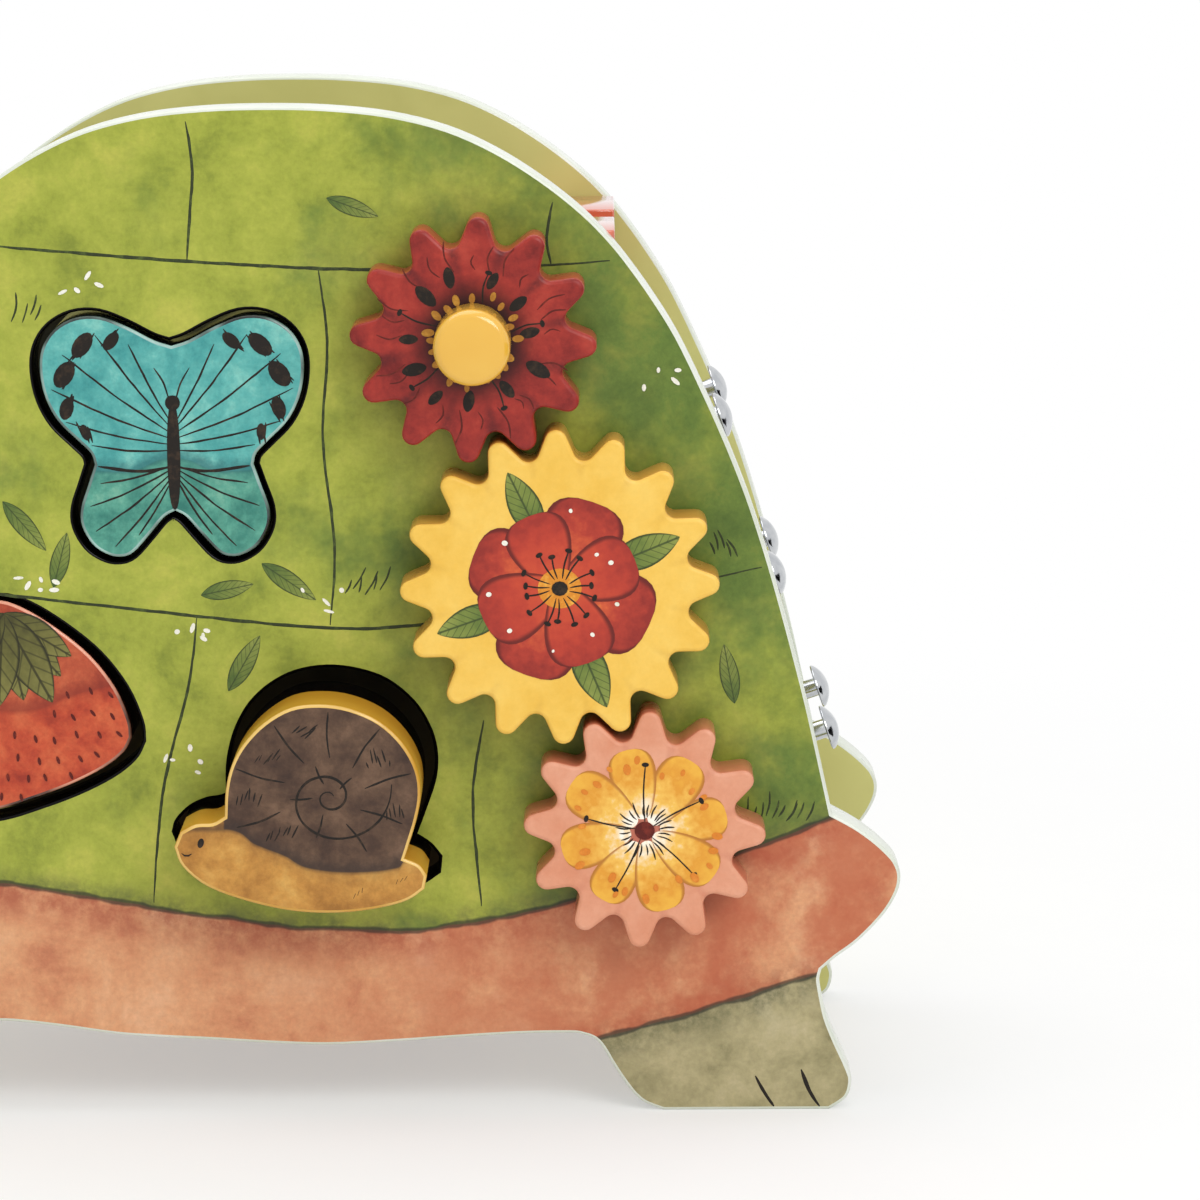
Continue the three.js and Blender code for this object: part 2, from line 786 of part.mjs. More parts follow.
// A round-headed pin: a flat underside, a thin rim and a low dome on a straight stem.
function chimePin() {
  const under = -pin_head_height / 2;
  const rim_top = under + pin_rim_height;
  const dome_height = pin_head_height - pin_rim_height;
  const profile = [
    [0, pin_bottom], [pin_stem_radius, pin_bottom], [pin_stem_radius, under],
    [pin_head_radius, under], [pin_head_radius, rim_top],
  ];
  for (let step = 1; step < head_dome_steps; step += 1) {
    const angle = (step / head_dome_steps) * (Math.PI / 2);
    profile.push([pin_head_radius * Math.cos(angle), rim_top + dome_height * Math.sin(angle)]);
  }
  profile.push([0, rim_top + dome_height]);
  return turned(profile, small_round_steps).rotateX(Math.PI / 2);
}

chime_places.forEach((down, bar) => {
  pin_rows.forEach((across, row) => {
    place(deck, `chime_pin_${bar + 1}_${row + 1}`, chimePin(), paint.chrome, 0.08, 1)
      .position.set(down, across, 0);
  });
});

// Dowels

for (const [block, places] of Object.entries(dowel_places)) {
  places.forEach((at, i) => {
    for (const [side, end] of [[-1, 'front'], [1, 'back']]) {
      const middle = side * (-dowel_front - dowel_length / 2);
      const dowel = chamferedRod(
        dowel_radius,
        middle - dowel_length / 2,
        middle + dowel_length / 2,
        dowel_chamfer,
        dowel_steps,
      );
      place(body, `${block}_dowel_${end}_${i + 1}`, dowel, paint.bare_wood, 0.7)
        .position.set(at.x, 0, at.y);
    }
  });
}

// The origin goes under the middle of the box round the whole toy.
toy.updateMatrixWorld(true);
const box = new THREE.Box3().setFromObject(toy, true);
body.position.set(-(box.min.x + box.max.x) / 2, -(box.min.y + box.max.y) / 2, -box.min.z);
toy.updateMatrixWorld(true);

export default toy;
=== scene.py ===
# %% [markdown]
# # A wooden tortoise activity toy
# The toy stands on two equal boards cut to a tortoise. Three meshing wheels, three loose shapes and
# a row of chime bars sit on and between them. The solid model fixes every size and place. This
# lesson dresses it: smooth sawn outlines, round edges, prints, lacquers, chrome and bare beech.

import math
import random
from functools import partial

import bmesh
import bpy
from mathutils import Matrix, Vector
from mathutils.kdtree import KDTree


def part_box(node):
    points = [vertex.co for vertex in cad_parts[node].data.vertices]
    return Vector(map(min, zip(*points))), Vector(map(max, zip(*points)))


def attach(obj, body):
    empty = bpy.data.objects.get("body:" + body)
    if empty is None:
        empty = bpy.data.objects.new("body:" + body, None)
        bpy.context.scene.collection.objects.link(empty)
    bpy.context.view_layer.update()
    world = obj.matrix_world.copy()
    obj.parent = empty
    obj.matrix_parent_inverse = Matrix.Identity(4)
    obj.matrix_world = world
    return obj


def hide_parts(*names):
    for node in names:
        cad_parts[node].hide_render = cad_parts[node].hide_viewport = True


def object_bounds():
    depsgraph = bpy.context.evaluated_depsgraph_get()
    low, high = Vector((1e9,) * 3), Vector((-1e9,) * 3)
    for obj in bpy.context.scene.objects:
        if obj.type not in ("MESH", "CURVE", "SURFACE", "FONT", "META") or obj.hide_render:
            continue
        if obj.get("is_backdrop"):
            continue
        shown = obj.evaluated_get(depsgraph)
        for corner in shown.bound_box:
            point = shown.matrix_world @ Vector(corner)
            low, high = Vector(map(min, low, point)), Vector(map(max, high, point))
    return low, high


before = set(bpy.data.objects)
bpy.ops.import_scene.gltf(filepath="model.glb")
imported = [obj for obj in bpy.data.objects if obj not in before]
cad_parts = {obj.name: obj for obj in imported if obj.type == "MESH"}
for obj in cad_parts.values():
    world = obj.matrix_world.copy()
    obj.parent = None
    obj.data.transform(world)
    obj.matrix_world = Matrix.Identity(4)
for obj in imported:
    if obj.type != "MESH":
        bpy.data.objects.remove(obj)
cad_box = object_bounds()
MM = 0.001

# %% [markdown]
# ## Helpers for every finish
# Colours are written as sRGB hex values, as on a paint maker's card, and one function turns them
# into the linear values that the shader works with. One small function adds a node. Plain values
# and links fill its inputs in order, a capitalised setting fills the input of that name, and the
# other settings are the node's properties. Two more start a material and link patterns to it.


# %% Colours and nodes
def linear(hex_colour):
    """An sRGB hex colour as a linear colour with full opacity."""
    shares = [int(hex_colour[i : i + 2], 16) / 255 for i in (1, 3, 5)]
    return [s / 12.92 if s <= 0.04045 else ((s + 0.055) / 1.055) ** 2.4 for s in shares] + [1.0]


def add(tree, kind, *values, **settings):
    """Adds a node with its settings and links. A node given as a value links its first output."""
    made = tree.nodes.new(kind)
    for name, value in settings.items():
        if name[0].islower():
            setattr(made, name, value)
    filled = list(zip([socket for socket in made.inputs if socket.enabled], values))
    for name, value in settings.items():
        if name[0].isupper():
            filled.append((made.inputs[name.replace("_", " ")], value))
    for socket, value in filled:
        if isinstance(value, bpy.types.Node):
            value = next(output for output in value.outputs if output.enabled)
        if isinstance(value, bpy.types.NodeSocket):
            tree.links.new(value, socket)
        elif value is not None:
            socket.default_value = linear(value) if str(value)[0] == "#" else value
    return made


def finish(name, **sockets):
    """A new material with one Principled shader, whose even values are set on its own sockets."""
    material = bpy.data.materials.new(name)
    material.use_nodes = True
    shader = material.node_tree.nodes["Principled BSDF"]
    for socket, value in sockets.items():
        shader.inputs[socket.replace("_", " ")].default_value = value
    return material, partial(add, material.node_tree), shader


def fill(shader, **patterns):
    """Links the result of a pattern's last node to each named socket of a shader."""
    for socket, pattern in patterns.items():
        output = next(output for output in pattern.outputs if output.enabled)
        shader.id_data.links.new(output, shader.inputs[socket.replace("_", " ")])


print("white as a linear colour:", linear("#ffffff"))

# %% [markdown]
# ## A surface in millimetres
# Every pattern starts from Object coordinates, which stay on the piece when it moves. A Mapping
# node turns them into millimetres, counted from the middle of the piece, so that each noise and
# each line below can be given its real size.


# %% Patterns in millimetres
def millimetres(node, centre=(0, 0, 0), stretch=(1, 1, 1)):
    """Object coordinates in millimetres from a centre that is given in metres."""
    place = node("ShaderNodeTexCoord").outputs["Object"]
    return node("ShaderNodeMapping", place, vector_type="POINT",
                Location=[-c / MM * s for c, s in zip(centre, stretch)],
                Scale=[s / MM for s in stretch])


def watercolour(node, place, colours, wash=26, grain=1.6, spread=0.34, paper_depth=1.0):
    """Pigment that pooled in washes, with a paper grain on top. wash and grain are sizes in mm."""
    pools = node("ShaderNodeTexNoise", place, Scale=1 / wash, Detail=6.0, Roughness=0.68,
                 Distortion=0.15)
    tones = node("ShaderNodeValToRGB", pools)
    steps = tones.color_ramp.elements
    while len(steps) < len(colours):
        steps.new(0.5)
    for i, colour in enumerate(colours):
        steps[i].position = 0.5 - spread / 2 + spread * i / (len(colours) - 1)
        steps[i].color = linear(colour)
    paper = node("ShaderNodeTexNoise", place, Scale=1 / grain, Detail=3.0, Roughness=0.7)
    depth = node("ShaderNodeMapRange", paper, 0.3, 0.7, 1 - 0.1 * paper_depth, 1 + 0.07 * paper_depth)
    return node("ShaderNodeMix", 1.0, tones, depth, data_type="RGBA", blend_type="MULTIPLY")


print("pattern helpers ready")

# %% [markdown]
# ## Sawn outlines from the solid model
# Both boards are flat pieces, sawn to one free curve. The solid model holds that curve as a
# many-sided outline. It could be drawn again by hand, but a plane that cuts the solid a little
# behind its face gives the exact corners back, and a Catmull-Rom curve through them makes the line
# as smooth as the saw did. Real corners, and long edges such as the soles, are kept as they are.


# %% Cut an outline out of a solid
def outlines_of(node_name, depth):
    """The closed outlines, in metres as (x, z), where a plane at y = depth cuts a solid."""
    work = bmesh.new()
    work.from_mesh(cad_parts[node_name].data)
    bmesh.ops.remove_doubles(work, verts=work.verts, dist=0.001 * MM)
    parts = work.verts[:] + work.edges[:] + work.faces[:]
    cut = bmesh.ops.bisect_plane(work, geom=parts, plane_co=(0, depth, 0), plane_no=(0, 1, 0))
    ways = {}
    for edge in (part for part in cut["geom_cut"] if isinstance(part, bmesh.types.BMEdge)):
        one, other = edge.verts
        for here, there in ((one, other), (other, one)):
            ways.setdefault(here, []).append(there)
    found = []
    while ways:
        loop = [next(iter(ways))]
        while loop[-1] in ways:
            onward = [v for v in ways.pop(loop[-1]) if v in ways]
            if not onward:
                break
            loop.append(onward[0])
        found.append([Vector((v.co.x, v.co.z)) for v in loop])
    work.free()
    return sorted((corners_of(loop) for loop in found), key=lambda p: -size_of(p))


def size_of(points):
    """How far an outline reaches along X."""
    return max(p.x for p in points) - min(p.x for p in points)


def turn_at(points, i):
    """The angle, in degrees, by which a closed outline turns at point i."""
    into, out = points[i] - points[i - 1], points[(i + 1) % len(points)] - points[i]
    if into.length < 1e-9 or out.length < 1e-9:
        return 0
    return abs(math.degrees(into.angle_signed(out)))


def corners_of(points):
    """Leaves out the points that lie on a straight stretch."""
    return [p for i, p in enumerate(points) if turn_at(points, i) > 0.4]


# %% Smooth an outline
CURVE_PIECES = 4
SHARP_TURN = 33


def smooth_outline(points, straight):
    """A closed outline with a smooth curve through its points, except at corners and long steps."""
    count = len(points)
    long_step = [(points[(i + 1) % count] - points[i]).length > straight for i in range(count)]
    held = [turn_at(points, i) > SHARP_TURN or long_step[i] or long_step[i - 1] for i in range(count)]
    fine = []
    for i in range(count):
        j = (i + 1) % count
        a, b = points[i], points[j]
        if long_step[i]:
            fine.append(a)
            continue
        before = 2 * a - b if held[i] else points[i - 1]
        after = 2 * b - a if held[j] else points[(i + 2) % count]
        for step in range(CURVE_PIECES):
            t = step / CURVE_PIECES
            fine.append(0.5 * (
                2 * a + (b - before) * t + (2 * before - 5 * a + 4 * b - after) * t**2
                + (3 * a - before - 3 * b + after) * t**3))
    return fine


panel_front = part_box("front_panel")[0].y
panel_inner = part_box("front_panel")[1].y
back_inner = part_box("back_panel")[0].y
panel_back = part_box("back_panel")[1].y
panel_outline = smooth_outline(outlines_of("front_panel", panel_front + 2 * MM)[0], straight=24 * MM)
print("panel outline:", len(panel_outline), "points")

# %% [markdown]
# ## The loose shapes and their cut-outs
# The three loose shapes are sawn out of one board and drop back into its holes. Their saw lines are
# drawn here, in millimetres from the middle of each solid, because the eye measures the dark
# gap round a shape against its outline. A hole is the outline moved outwards, and it lies a little
# to one side, as a loose piece never sits in the middle. The snail's hole has a line of its own.

# %% The saw lines, in millimetres
butterfly_axis = 1.65  # where the butterfly mirrors, aside from its solid's middle
half_butterfly = [
    (0, 26.1), (4.5, 27.6), (11, 31), (18, 33.7), (24.5, 33.5), (30, 30.5), (33.2, 25.6), (33.9, 19.6),
    (32.6, 12.6), (29.5, 6.6), (24.8, 1.8), (21.4, -1.7), (20.5, -4.6), (22.3, -9.9), (24.3, -15.9),
    (24.2, -20.6), (21.6, -25.4), (18, -28), (14.5, -28.8), (11, -27.6), (6.5, -22.7), (2.8, -18.4),
    (0, -16.8),
]
mirrored_half = [(-x, z) for x, z in reversed(half_butterfly[1:-1])]
saw_lines = {
    "butterfly": [(x + butterfly_axis, z) for x, z in half_butterfly + mirrored_half],
    "strawberry": [
        (33.7, -5.2), (31.5, -9.1), (26, -13.4), (17, -17.9), (7, -21.6), (-2, -24.3), (-13, -25.5),
        (-24, -23.2), (-31.5, -16.2), (-33.2, -4.7), (-29.5, 9.3), (-21, 21.3), (-10, 29.3), (-1, 31.4),
        (6, 29.5), (15, 23.8), (23.5, 16.5), (29.8, 7.9), (33.2, -0.5),
    ],
    "snail": [
        (-20.4, -1.3), (-19.9, 5.8), (-18.3, 12.1), (-15, 17.9), (-9.7, 23.3), (-3, 27.1), (4.4, 28),
        (12, 26.9), (19.7, 23.4), (25.6, 17.7), (29.2, 10.9), (30, 4.3), (28.9, -2.1), (26.8, -8.9),
        (25.6, -12.6), (29.3, -14.3), (31.3, -17.1), (30.6, -20.7), (26.2, -23.7), (19, -25.7),
        (9, -26.9), (-2.4, -26.5), (-14, -24), (-24.9, -19.9), (-31.4, -14.5), (-33.5, -9.3),
        (-31.8, -5.3), (-27.8, -3.3), (-23.5, -3),
    ],
}
snail_hole_line = [
    (-21, -0.9), (-20.9, 6.3), (-20, 11.8), (-18.2, 17.3), (-14.8, 23.2), (-9.6, 28.1), (-3, 31.5),
    (5, 32.8), (13, 31.9), (20.5, 29.1), (27, 23.6), (30.9, 17.3), (32.7, 10.8), (32.4, 3.7), (30, -3.7),
    (27.3, -10.9), (26.9, -11.9), (31, -14.7), (33.6, -17.9), (33.2, -21.7), (28.5, -24.6), (20, -26.4),
    (9, -27.5), (-3, -27.1), (-15, -24.5), (-26, -20.1), (-33, -15.5), (-35.4, -10.7), (-34.4, -7.7),
    (-31, -4.3), (-27, -2.4), (-23.5, -1.8),
]
# How much wider a hole is than its shape, and how far aside and up it lies, in millimetres
hole_margins = {"butterfly": (1.2, -0.65, -0.1), "strawberry": (1.6, 1.2, -0.6)}


def middle_of(shape):
    """The middle of a loose shape's solid, as (x, z)."""
    low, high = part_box(shape + "_piece")
    return Vector(((low.x + high.x) / 2, (low.z + high.z) / 2))


def drawn_at(points, middle):
    """A closed smooth line through points in millimetres from a middle, in metres."""
    return smooth_outline([middle + Vector(point) * MM for point in points], straight=40 * MM)


def widened(points, distance):
    """A closed line that runs against the clock, moved outwards by a distance."""
    moved = []
    for i, point in enumerate(points):
        side = (points[(i + 1) % len(points)] - points[i - 1]).normalized()
        moved.append(point + Vector((side.y, -side.x)) * distance)
    return moved


def against_clock(points):
    """The same closed line, run through against the clock."""
    area = sum(points[i - 1].cross(point) for i, point in enumerate(points))
    return points if area > 0 else points[::-1]


piece_lines = {
    shape: against_clock(drawn_at(line, middle_of(shape))) for shape, line in saw_lines.items()
}
hole_lines = {"snail": against_clock(drawn_at(snail_hole_line, middle_of("snail")))}
for shape, (margin, aside, up) in hole_margins.items():
    wider = widened(piece_lines[shape], margin * MM)
    hole_lines[shape] = [point + Vector((aside, up)) * MM for point in wider]
print("saw lines:", {shape: len(line) for shape, line in piece_lines.items()})

# %% [markdown]
# ## From an outline to a board
# A flat curve with thickness and a round bevel is how a drawn outline becomes a sawn and sanded
# board: the bevel is the sanded edge. The curve is then made a mesh. The big flat faces keep sharp
# borders, so that they shade flat, and the edge itself shades round.


# %% Make a board
def link(made):
    """Puts a new object into the scene."""
    bpy.context.scene.collection.objects.link(made)
    return made


def board(name, loops, front, back, edge_round):
    """A solid with the given closed outlines, the first outside and the others holes."""
    drawn = bpy.data.curves.new(name, "CURVE")
    drawn.dimensions = "2D"
    drawn.fill_mode = "BOTH"
    drawn.extrude = (back - front) / 2 - edge_round
    drawn.bevel_depth = edge_round
    drawn.bevel_resolution = 3
    drawn.offset = -edge_round
    for loop in loops:
        spline = drawn.splines.new("POLY")
        spline.points.add(len(loop) - 1)
        for point, at in zip(spline.points, loop):
            point.co = (at.x, at.y, 0, 1)
        spline.use_cyclic_u = True
    shaped = link(bpy.data.objects.new(name + "_outline", drawn))
    view = bpy.context.evaluated_depsgraph_get()
    mesh = bpy.data.meshes.new_from_object(shaped.evaluated_get(view))
    bpy.data.objects.remove(shaped)
    mesh.transform(Matrix.Translation((0, (front + back) / 2, 0)) @ Matrix.Rotation(math.pi / 2, 4, "X"))
    return link(bpy.data.objects.new(name, closed_mesh(mesh, name)))


# %% Close a mesh and give it its paints
HARD_CORNER = math.radians(38)
FLAT = 0.9999  # how far a face has to look straight forwards or backwards


def closed_mesh(mesh, name, merge=0.002 * MM):
    """Joins a mesh's seams, turns its faces outwards and shades it round, with flat faces flat."""
    work = bmesh.new()
    work.from_mesh(mesh)
    bmesh.ops.remove_doubles(work, verts=work.verts, dist=merge)
    bmesh.ops.dissolve_degenerate(work, edges=work.edges, dist=merge)
    bmesh.ops.recalc_face_normals(work, faces=work.faces)
    for face in work.faces:
        face.smooth = True
    for edge in work.edges:
        if len(edge.link_faces) == 2:
            flat = [abs(face.normal.y) > FLAT for face in edge.link_faces]
            edge.smooth = flat[0] == flat[1] and edge.calc_face_angle() < HARD_CORNER
    work.to_mesh(mesh)
    work.free()
    mesh.name = name
    return mesh


def paint(piece, materials, choose=lambda polygon: 0):
    """Gives a piece its materials, and each face the one that choose picks for it."""
    piece.data.materials.clear()
    for material in materials:
        piece.data.materials.append(material)
    for polygon in piece.data.polygons:
        polygon.material_index = choose(polygon)
    return piece


print("board helpers ready")

# %% [markdown]
# ## The print on the front board
# The front carries a varnished watercolour print: a mottled green shell, a terracotta rim, and
# grey-olive legs, with dark smudged ink where they meet. It could be a picture, but drawn in the
# shader it stays sharp at any size. Two curves over the board's length part the zones, a little
# noise shakes them like a hand, and each zone gets its own watercolour wash.

# %% Where the zones of the print meet, in millimetres from the shell's middle
shell_middle = 0.0272358  # along X, in metres
rim_edge = [
    (-163, 90), (-147, 83), (-117, 72), (-71, 62.3), (-46, 58.5), (-20, 53.9), (6, 50.6), (32, 49.7),
    (58, 53.1), (84, 59.3), (111, 66.9), (145, 79.7), (163, 87),
]
leg_edge = (20.0, 84.2, 0.3)  # a height, how far aside it is reached, and the slope from there
head_line = (-131.2, 143.0, 0.36)  # a place along, its height, and the lean of the neck line
# Settings that many nodes share
SOFT_STEP = {"interpolation_type": "SMOOTHSTEP"}
COLOURS = {"data_type": "RGBA"}
INK = "#2c2a20"


def varnish(node, shader, place, middle=0.4):
    """A thin brushed varnish: its gloss changes a little over the surface, and it is never flat."""
    pools = node("ShaderNodeTexNoise", place, Scale=1 / 18, Detail=4.0)
    gloss = node("ShaderNodeMapRange", pools, 0.3, 0.7, middle - 0.05, middle + 0.05)
    grain = node("ShaderNodeTexNoise", place, Scale=1 / 0.9, Detail=3.0)
    relief = node("ShaderNodeBump", Height=grain, Strength=0.05, Distance=0.2 * MM)
    fill(shader, Roughness=gloss, Normal=relief)


def height_line(node, along, points):
    """The height in mm of a smooth line through (along, height) points, at a place along it."""
    starts, heights = zip(*points)
    low, high = min(heights), max(heights)
    curve = node("ShaderNodeFloatCurve", 1.0, node("ShaderNodeMapRange", along, starts[0], starts[-1]))
    dots = curve.mapping.curves[0].points
    while len(dots) < len(points):
        dots.new(0.5, 0.5)
    for dot, (start, height) in zip(dots, points):
        dot.location = ((start - starts[0]) / (starts[-1] - starts[0]), (height - low) / (high - low))
    curve.mapping.update()
    return node("ShaderNodeMapRange", curve, 0, 1, low, high)


# %% How far a point lies from the edges of the zones
def zone_distances(node, place):
    """The place along the board, and how far a point is over the rim, over a leg, past the neck."""
    split = node("ShaderNodeSeparateXYZ", place)
    along, up = split.outputs["X"], split.outputs["Z"]
    hand = node("ShaderNodeTexNoise", place, Scale=1 / 16, Detail=2.0)
    shaken = node("ShaderNodeMath", up, node("ShaderNodeMapRange", hand, 0.25, 0.75, -0.7, 0.7))
    over_rim = node("ShaderNodeMath", shaken, height_line(node, along, rim_edge), operation="SUBTRACT")
    aside = node("ShaderNodeMath", along, operation="ABSOLUTE")
    start, from_middle, slope = leg_edge
    leg_top = node("ShaderNodeMath", aside, slope, start - from_middle * slope, operation="MULTIPLY_ADD")
    over_leg = node("ShaderNodeMath", shaken, leg_top, operation="SUBTRACT")
    head_at, head_up, lean = head_line
    neck = node("ShaderNodeMath", shaken, lean, head_at - head_up * lean, operation="MULTIPLY_ADD")
    past_neck = node("ShaderNodeMath", neck, along, operation="SUBTRACT")
    return along, over_rim, over_leg, past_neck


# %% The washes of the shell, the rim and the skin
def zone_washes(node, place, along, over_rim, over_leg):
    """The three watercolours of the print, each darker where it nears a line."""
    smudge = node("ShaderNodeTexNoise", place, Scale=1 / 5, Detail=6.0, Roughness=0.7)

    def wash(zone, low, high, distance, near, far, tone, weight):
        """A darker tone that pools near a line, broken up by the smudges."""
        close = node("ShaderNodeMapRange", distance, far, near, 0, weight, **SOFT_STEP)
        pool = node("ShaderNodeMath", close, node("ShaderNodeMapRange", smudge, low, high, 0.2, 1),
                    operation="MULTIPLY")
        return node("ShaderNodeMix", pool, zone, tone, **COLOURS)

    light = watercolour(node, place, ["#7f8a30", "#97a03a", "#a6ad43", "#b4b54c"], wash=20, spread=0.34)
    deep = watercolour(node, place, ["#3f5f26", "#577430", "#7b8638"], wash=15, spread=0.32)
    clouds = node("ShaderNodeTexNoise", place, Scale=1 / 46, Detail=5.0, Roughness=0.66)
    tail_side = node("ShaderNodeMapRange", along, -40, 130, -0.13, 0.14, **SOFT_STEP)
    shade = node("ShaderNodeMath", clouds, tail_side)
    dark = node("ShaderNodeMapRange", shade, 0.42, 0.7, 0, 0.85, **SOFT_STEP)
    shell = node("ShaderNodeMix", dark, light, deep, **COLOURS)
    shell = wash(shell, 0.36, 0.62, over_rim, 0, 7, "#4d5530", 0.75)
    rim = watercolour(node, place, ["#c07a58", "#d29269", "#dba176", "#e2ae85"], wash=22)
    rim = wash(rim, 0.4, 0.6, over_rim, 0, -13, "#9c4430", 0.7)
    rim = wash(rim, 0.4, 0.6, over_leg, 0, 9, "#93492f", 0.65)
    red_side = node("ShaderNodeMapRange", along, -40, 120, 0.06, 0.72, **SOFT_STEP)
    blotch = node("ShaderNodeTexNoise", place, Scale=1 / 24, Detail=5.0, Roughness=0.65)
    red_side = node("ShaderNodeMath", red_side, node("ShaderNodeMapRange", blotch, 0.32, 0.58, **SOFT_STEP),
                    operation="MULTIPLY")
    rim = node("ShaderNodeMix", red_side, rim, "#b5583a", **COLOURS)
    skin = watercolour(node, place, ["#857e59", "#a0976f", "#b2a77e", "#beb38c"], wash=20)
    skin = wash(skin, 0.4, 0.62, over_leg, 0, -12, "#4f5234", 0.8)
    return shell, rim, skin


# %% The print, put together
def shell_print():
    """Watercolour under varnish: mottled and soft, with drawn lines and a low even sheen."""
    material, node, shader = finish("varnished_print_on_birch_board", Specular_IOR_Level=0.32)
    place = millimetres(node, (shell_middle, 0, 0))
    along, over_rim, over_leg, past_neck = zone_distances(node, place)
    shell, rim, skin = zone_washes(node, place, along, over_rim, over_leg)
    in_shell = node("ShaderNodeMapRange", over_rim, -0.25, 0.25, **SOFT_STEP)
    in_head = node("ShaderNodeMapRange", past_neck, -0.25, 0.25, **SOFT_STEP)
    in_leg = node("ShaderNodeMapRange", over_leg, 0.25, -0.25, **SOFT_STEP)
    colour = node("ShaderNodeMix", in_shell, rim, shell, **COLOURS)
    colour = node("ShaderNodeMix", in_head, colour, skin, **COLOURS)
    colour = node("ShaderNodeMix", in_leg, colour, skin, **COLOURS)
    on_body = node("ShaderNodeMapRange", past_neck, 0.6, -0.6, **SOFT_STEP)
    pencil = node("ShaderNodeTexNoise", place, Scale=1 / 7, Detail=2.0)
    for distance, shown in ((over_rim, on_body), (over_leg, on_body), (past_neck, 1.0)):
        near = node("ShaderNodeMath", distance, operation="ABSOLUTE")
        broken = node("ShaderNodeMath", pencil, -1.5, near, operation="MULTIPLY_ADD")
        line = node("ShaderNodeMapRange", broken, 0.35, -0.35, 0, 0.8, **SOFT_STEP)
        colour = node("ShaderNodeMix", node("ShaderNodeMath", line, shown, operation="MULTIPLY"),
                      colour, INK, **COLOURS)
    fill(shader, Base_Color=colour)
    varnish(node, shader, place)
    return material


shell_material = shell_print()
print("front print:", len(shell_material.node_tree.nodes), "nodes")

# %% [markdown]
# ## Lacquers
# The other painted wood has a sprayed lacquer: satin olive inside, pale sage on the sawn edges,
# gloss black in the cut-outs where they were sealed, gloss coral on the rest. Sprayed lacquer is
# even in colour, but never quite: it clouds a little, and shows a fine orange-peel skin in the
# reflections. Those two small changes are what make it read as paint on wood and not as plastic.


# %% Lacquered wood
def lacquer(name, colour, cloud, roughness, coat=0.0, sealed_from=None, specular=0.5):
    """Sprayed lacquer that clouds between two hex colours, black behind a depth Y in mm if given."""
    material, node, shader = finish(name, Coat_Weight=coat, Coat_Roughness=0.06,
                                    Specular_IOR_Level=specular)
    place = millimetres(node)
    clouds = node("ShaderNodeTexNoise", place, Scale=1 / 30, Detail=3.0, Distortion=0.4)
    share = node("ShaderNodeMapRange", clouds, 0.35, 0.65, **SOFT_STEP)
    tone = node("ShaderNodeMix", share, colour, cloud, **COLOURS)
    if sealed_from is not None:
        deep = node("ShaderNodeSeparateXYZ", place).outputs["Y"]
        sealed = node("ShaderNodeMapRange", deep, sealed_from - 0.3, sealed_from + 0.3, **SOFT_STEP)
        tone = node("ShaderNodeMix", sealed, tone, "#060404", **COLOURS)
    sheen = node("ShaderNodeTexNoise", place, Scale=1 / 9, Detail=2.0)
    gloss = node("ShaderNodeMapRange", sheen, 0.3, 0.7, roughness * 0.88, roughness * 1.12)
    skin = node("ShaderNodeTexNoise", place, Scale=1 / 1.8, Detail=1.0)
    relief = node("ShaderNodeBump", Height=skin, Strength=0.04, Distance=0.3 * MM)
    fill(shader, Base_Color=tone, Roughness=gloss, Normal=relief)
    return material


# Satin olive: soft, wide reflections, so that the inside stays calm beside the print.
olive_lacquer = lacquer("olive_satin_lacquer_on_birch", "#cdca7e", "#c5c276", 0.36)
# Pale sage: a light line that shows how thick the boards are.
edge_lacquer = lacquer("pale_sage_lacquer_on_sawn_edge", "#dfe3d8", "#d3d9c8", 0.3, coat=0.2)
# Black with little shine: a dark gap that makes each loose shape stand out.
cut_lacquer = lacquer("black_gloss_sealed_saw_cut", "#050404", "#0a0807", 0.14, specular=0.12)
# Gloss under a clear coat: the small sharp highlights of wood that is meant to be held.
coral_lacquer = lacquer("coral_gloss_lacquer", "#d06a4c", "#c86146", 0.1, coat=0.8)
yellow_lacquer = lacquer("yellow_gloss_lacquer", "#e8b847", "#e4b03e", 0.18, coat=0.5)

# %% The inside of the back board, with painted shade where the shapes fall
# The same satin olive, with black painted in the middle as painted shade of the hollow, so that the cut-outs
# read as deep holes.
hollow_lacquer = lacquer("olive_lacquer_sprayed_black_in_the_hollow", "#cdca7e", "#c5c276", 0.36)
node = partial(add, hollow_lacquer.node_tree)
shader = hollow_lacquer.node_tree.nodes["Principled BSDF"]
olive = shader.inputs["Base Color"].links[0].from_socket
hollow_middle, half_long, half_tall = (shell_middle, 0, 0.125), 122, 98
from_hollow = millimetres(node, hollow_middle, (1 / half_long, 0, 1 / half_tall))
reach = node("ShaderNodeVectorMath", from_hollow, operation="LENGTH").outputs["Value"]
painted_shade_share = node("ShaderNodeMapRange", reach, 1.0, 0.95, **SOFT_STEP)
painted_shade_colour = node("ShaderNodeMix", painted_shade_share, olive, "#080706", **COLOURS)
fill(shader, Base_Color=painted_shade_colour)
print("lacquers:", len([m for m in bpy.data.materials if "lacquer" in m.name]))

# %% Both boards
panel_round = 0.9 * MM
front_loops = [panel_outline] + list(hole_lines.values())
front_board = board("front_board", front_loops, panel_front, panel_inner, panel_round)
nearest = KDTree(sum(len(loop) for loop in front_loops))
owners = []
for number, loop in enumerate(front_loops):
    for at in loop:
        nearest.insert((at.x, 0, at.y), len(owners))
        owners.append(number)
nearest.balance()


def front_board_finish(polygon):
    """Print in front, olive behind, sage on the outside edge and black in the holes."""
    if polygon.normal.y < -FLAT:
        return 0
    if polygon.normal.y > FLAT:
        return 1
    owner = owners[nearest.find((polygon.center.x, 0, polygon.center.z))[1]]
    return 2 if owner == 0 else 3


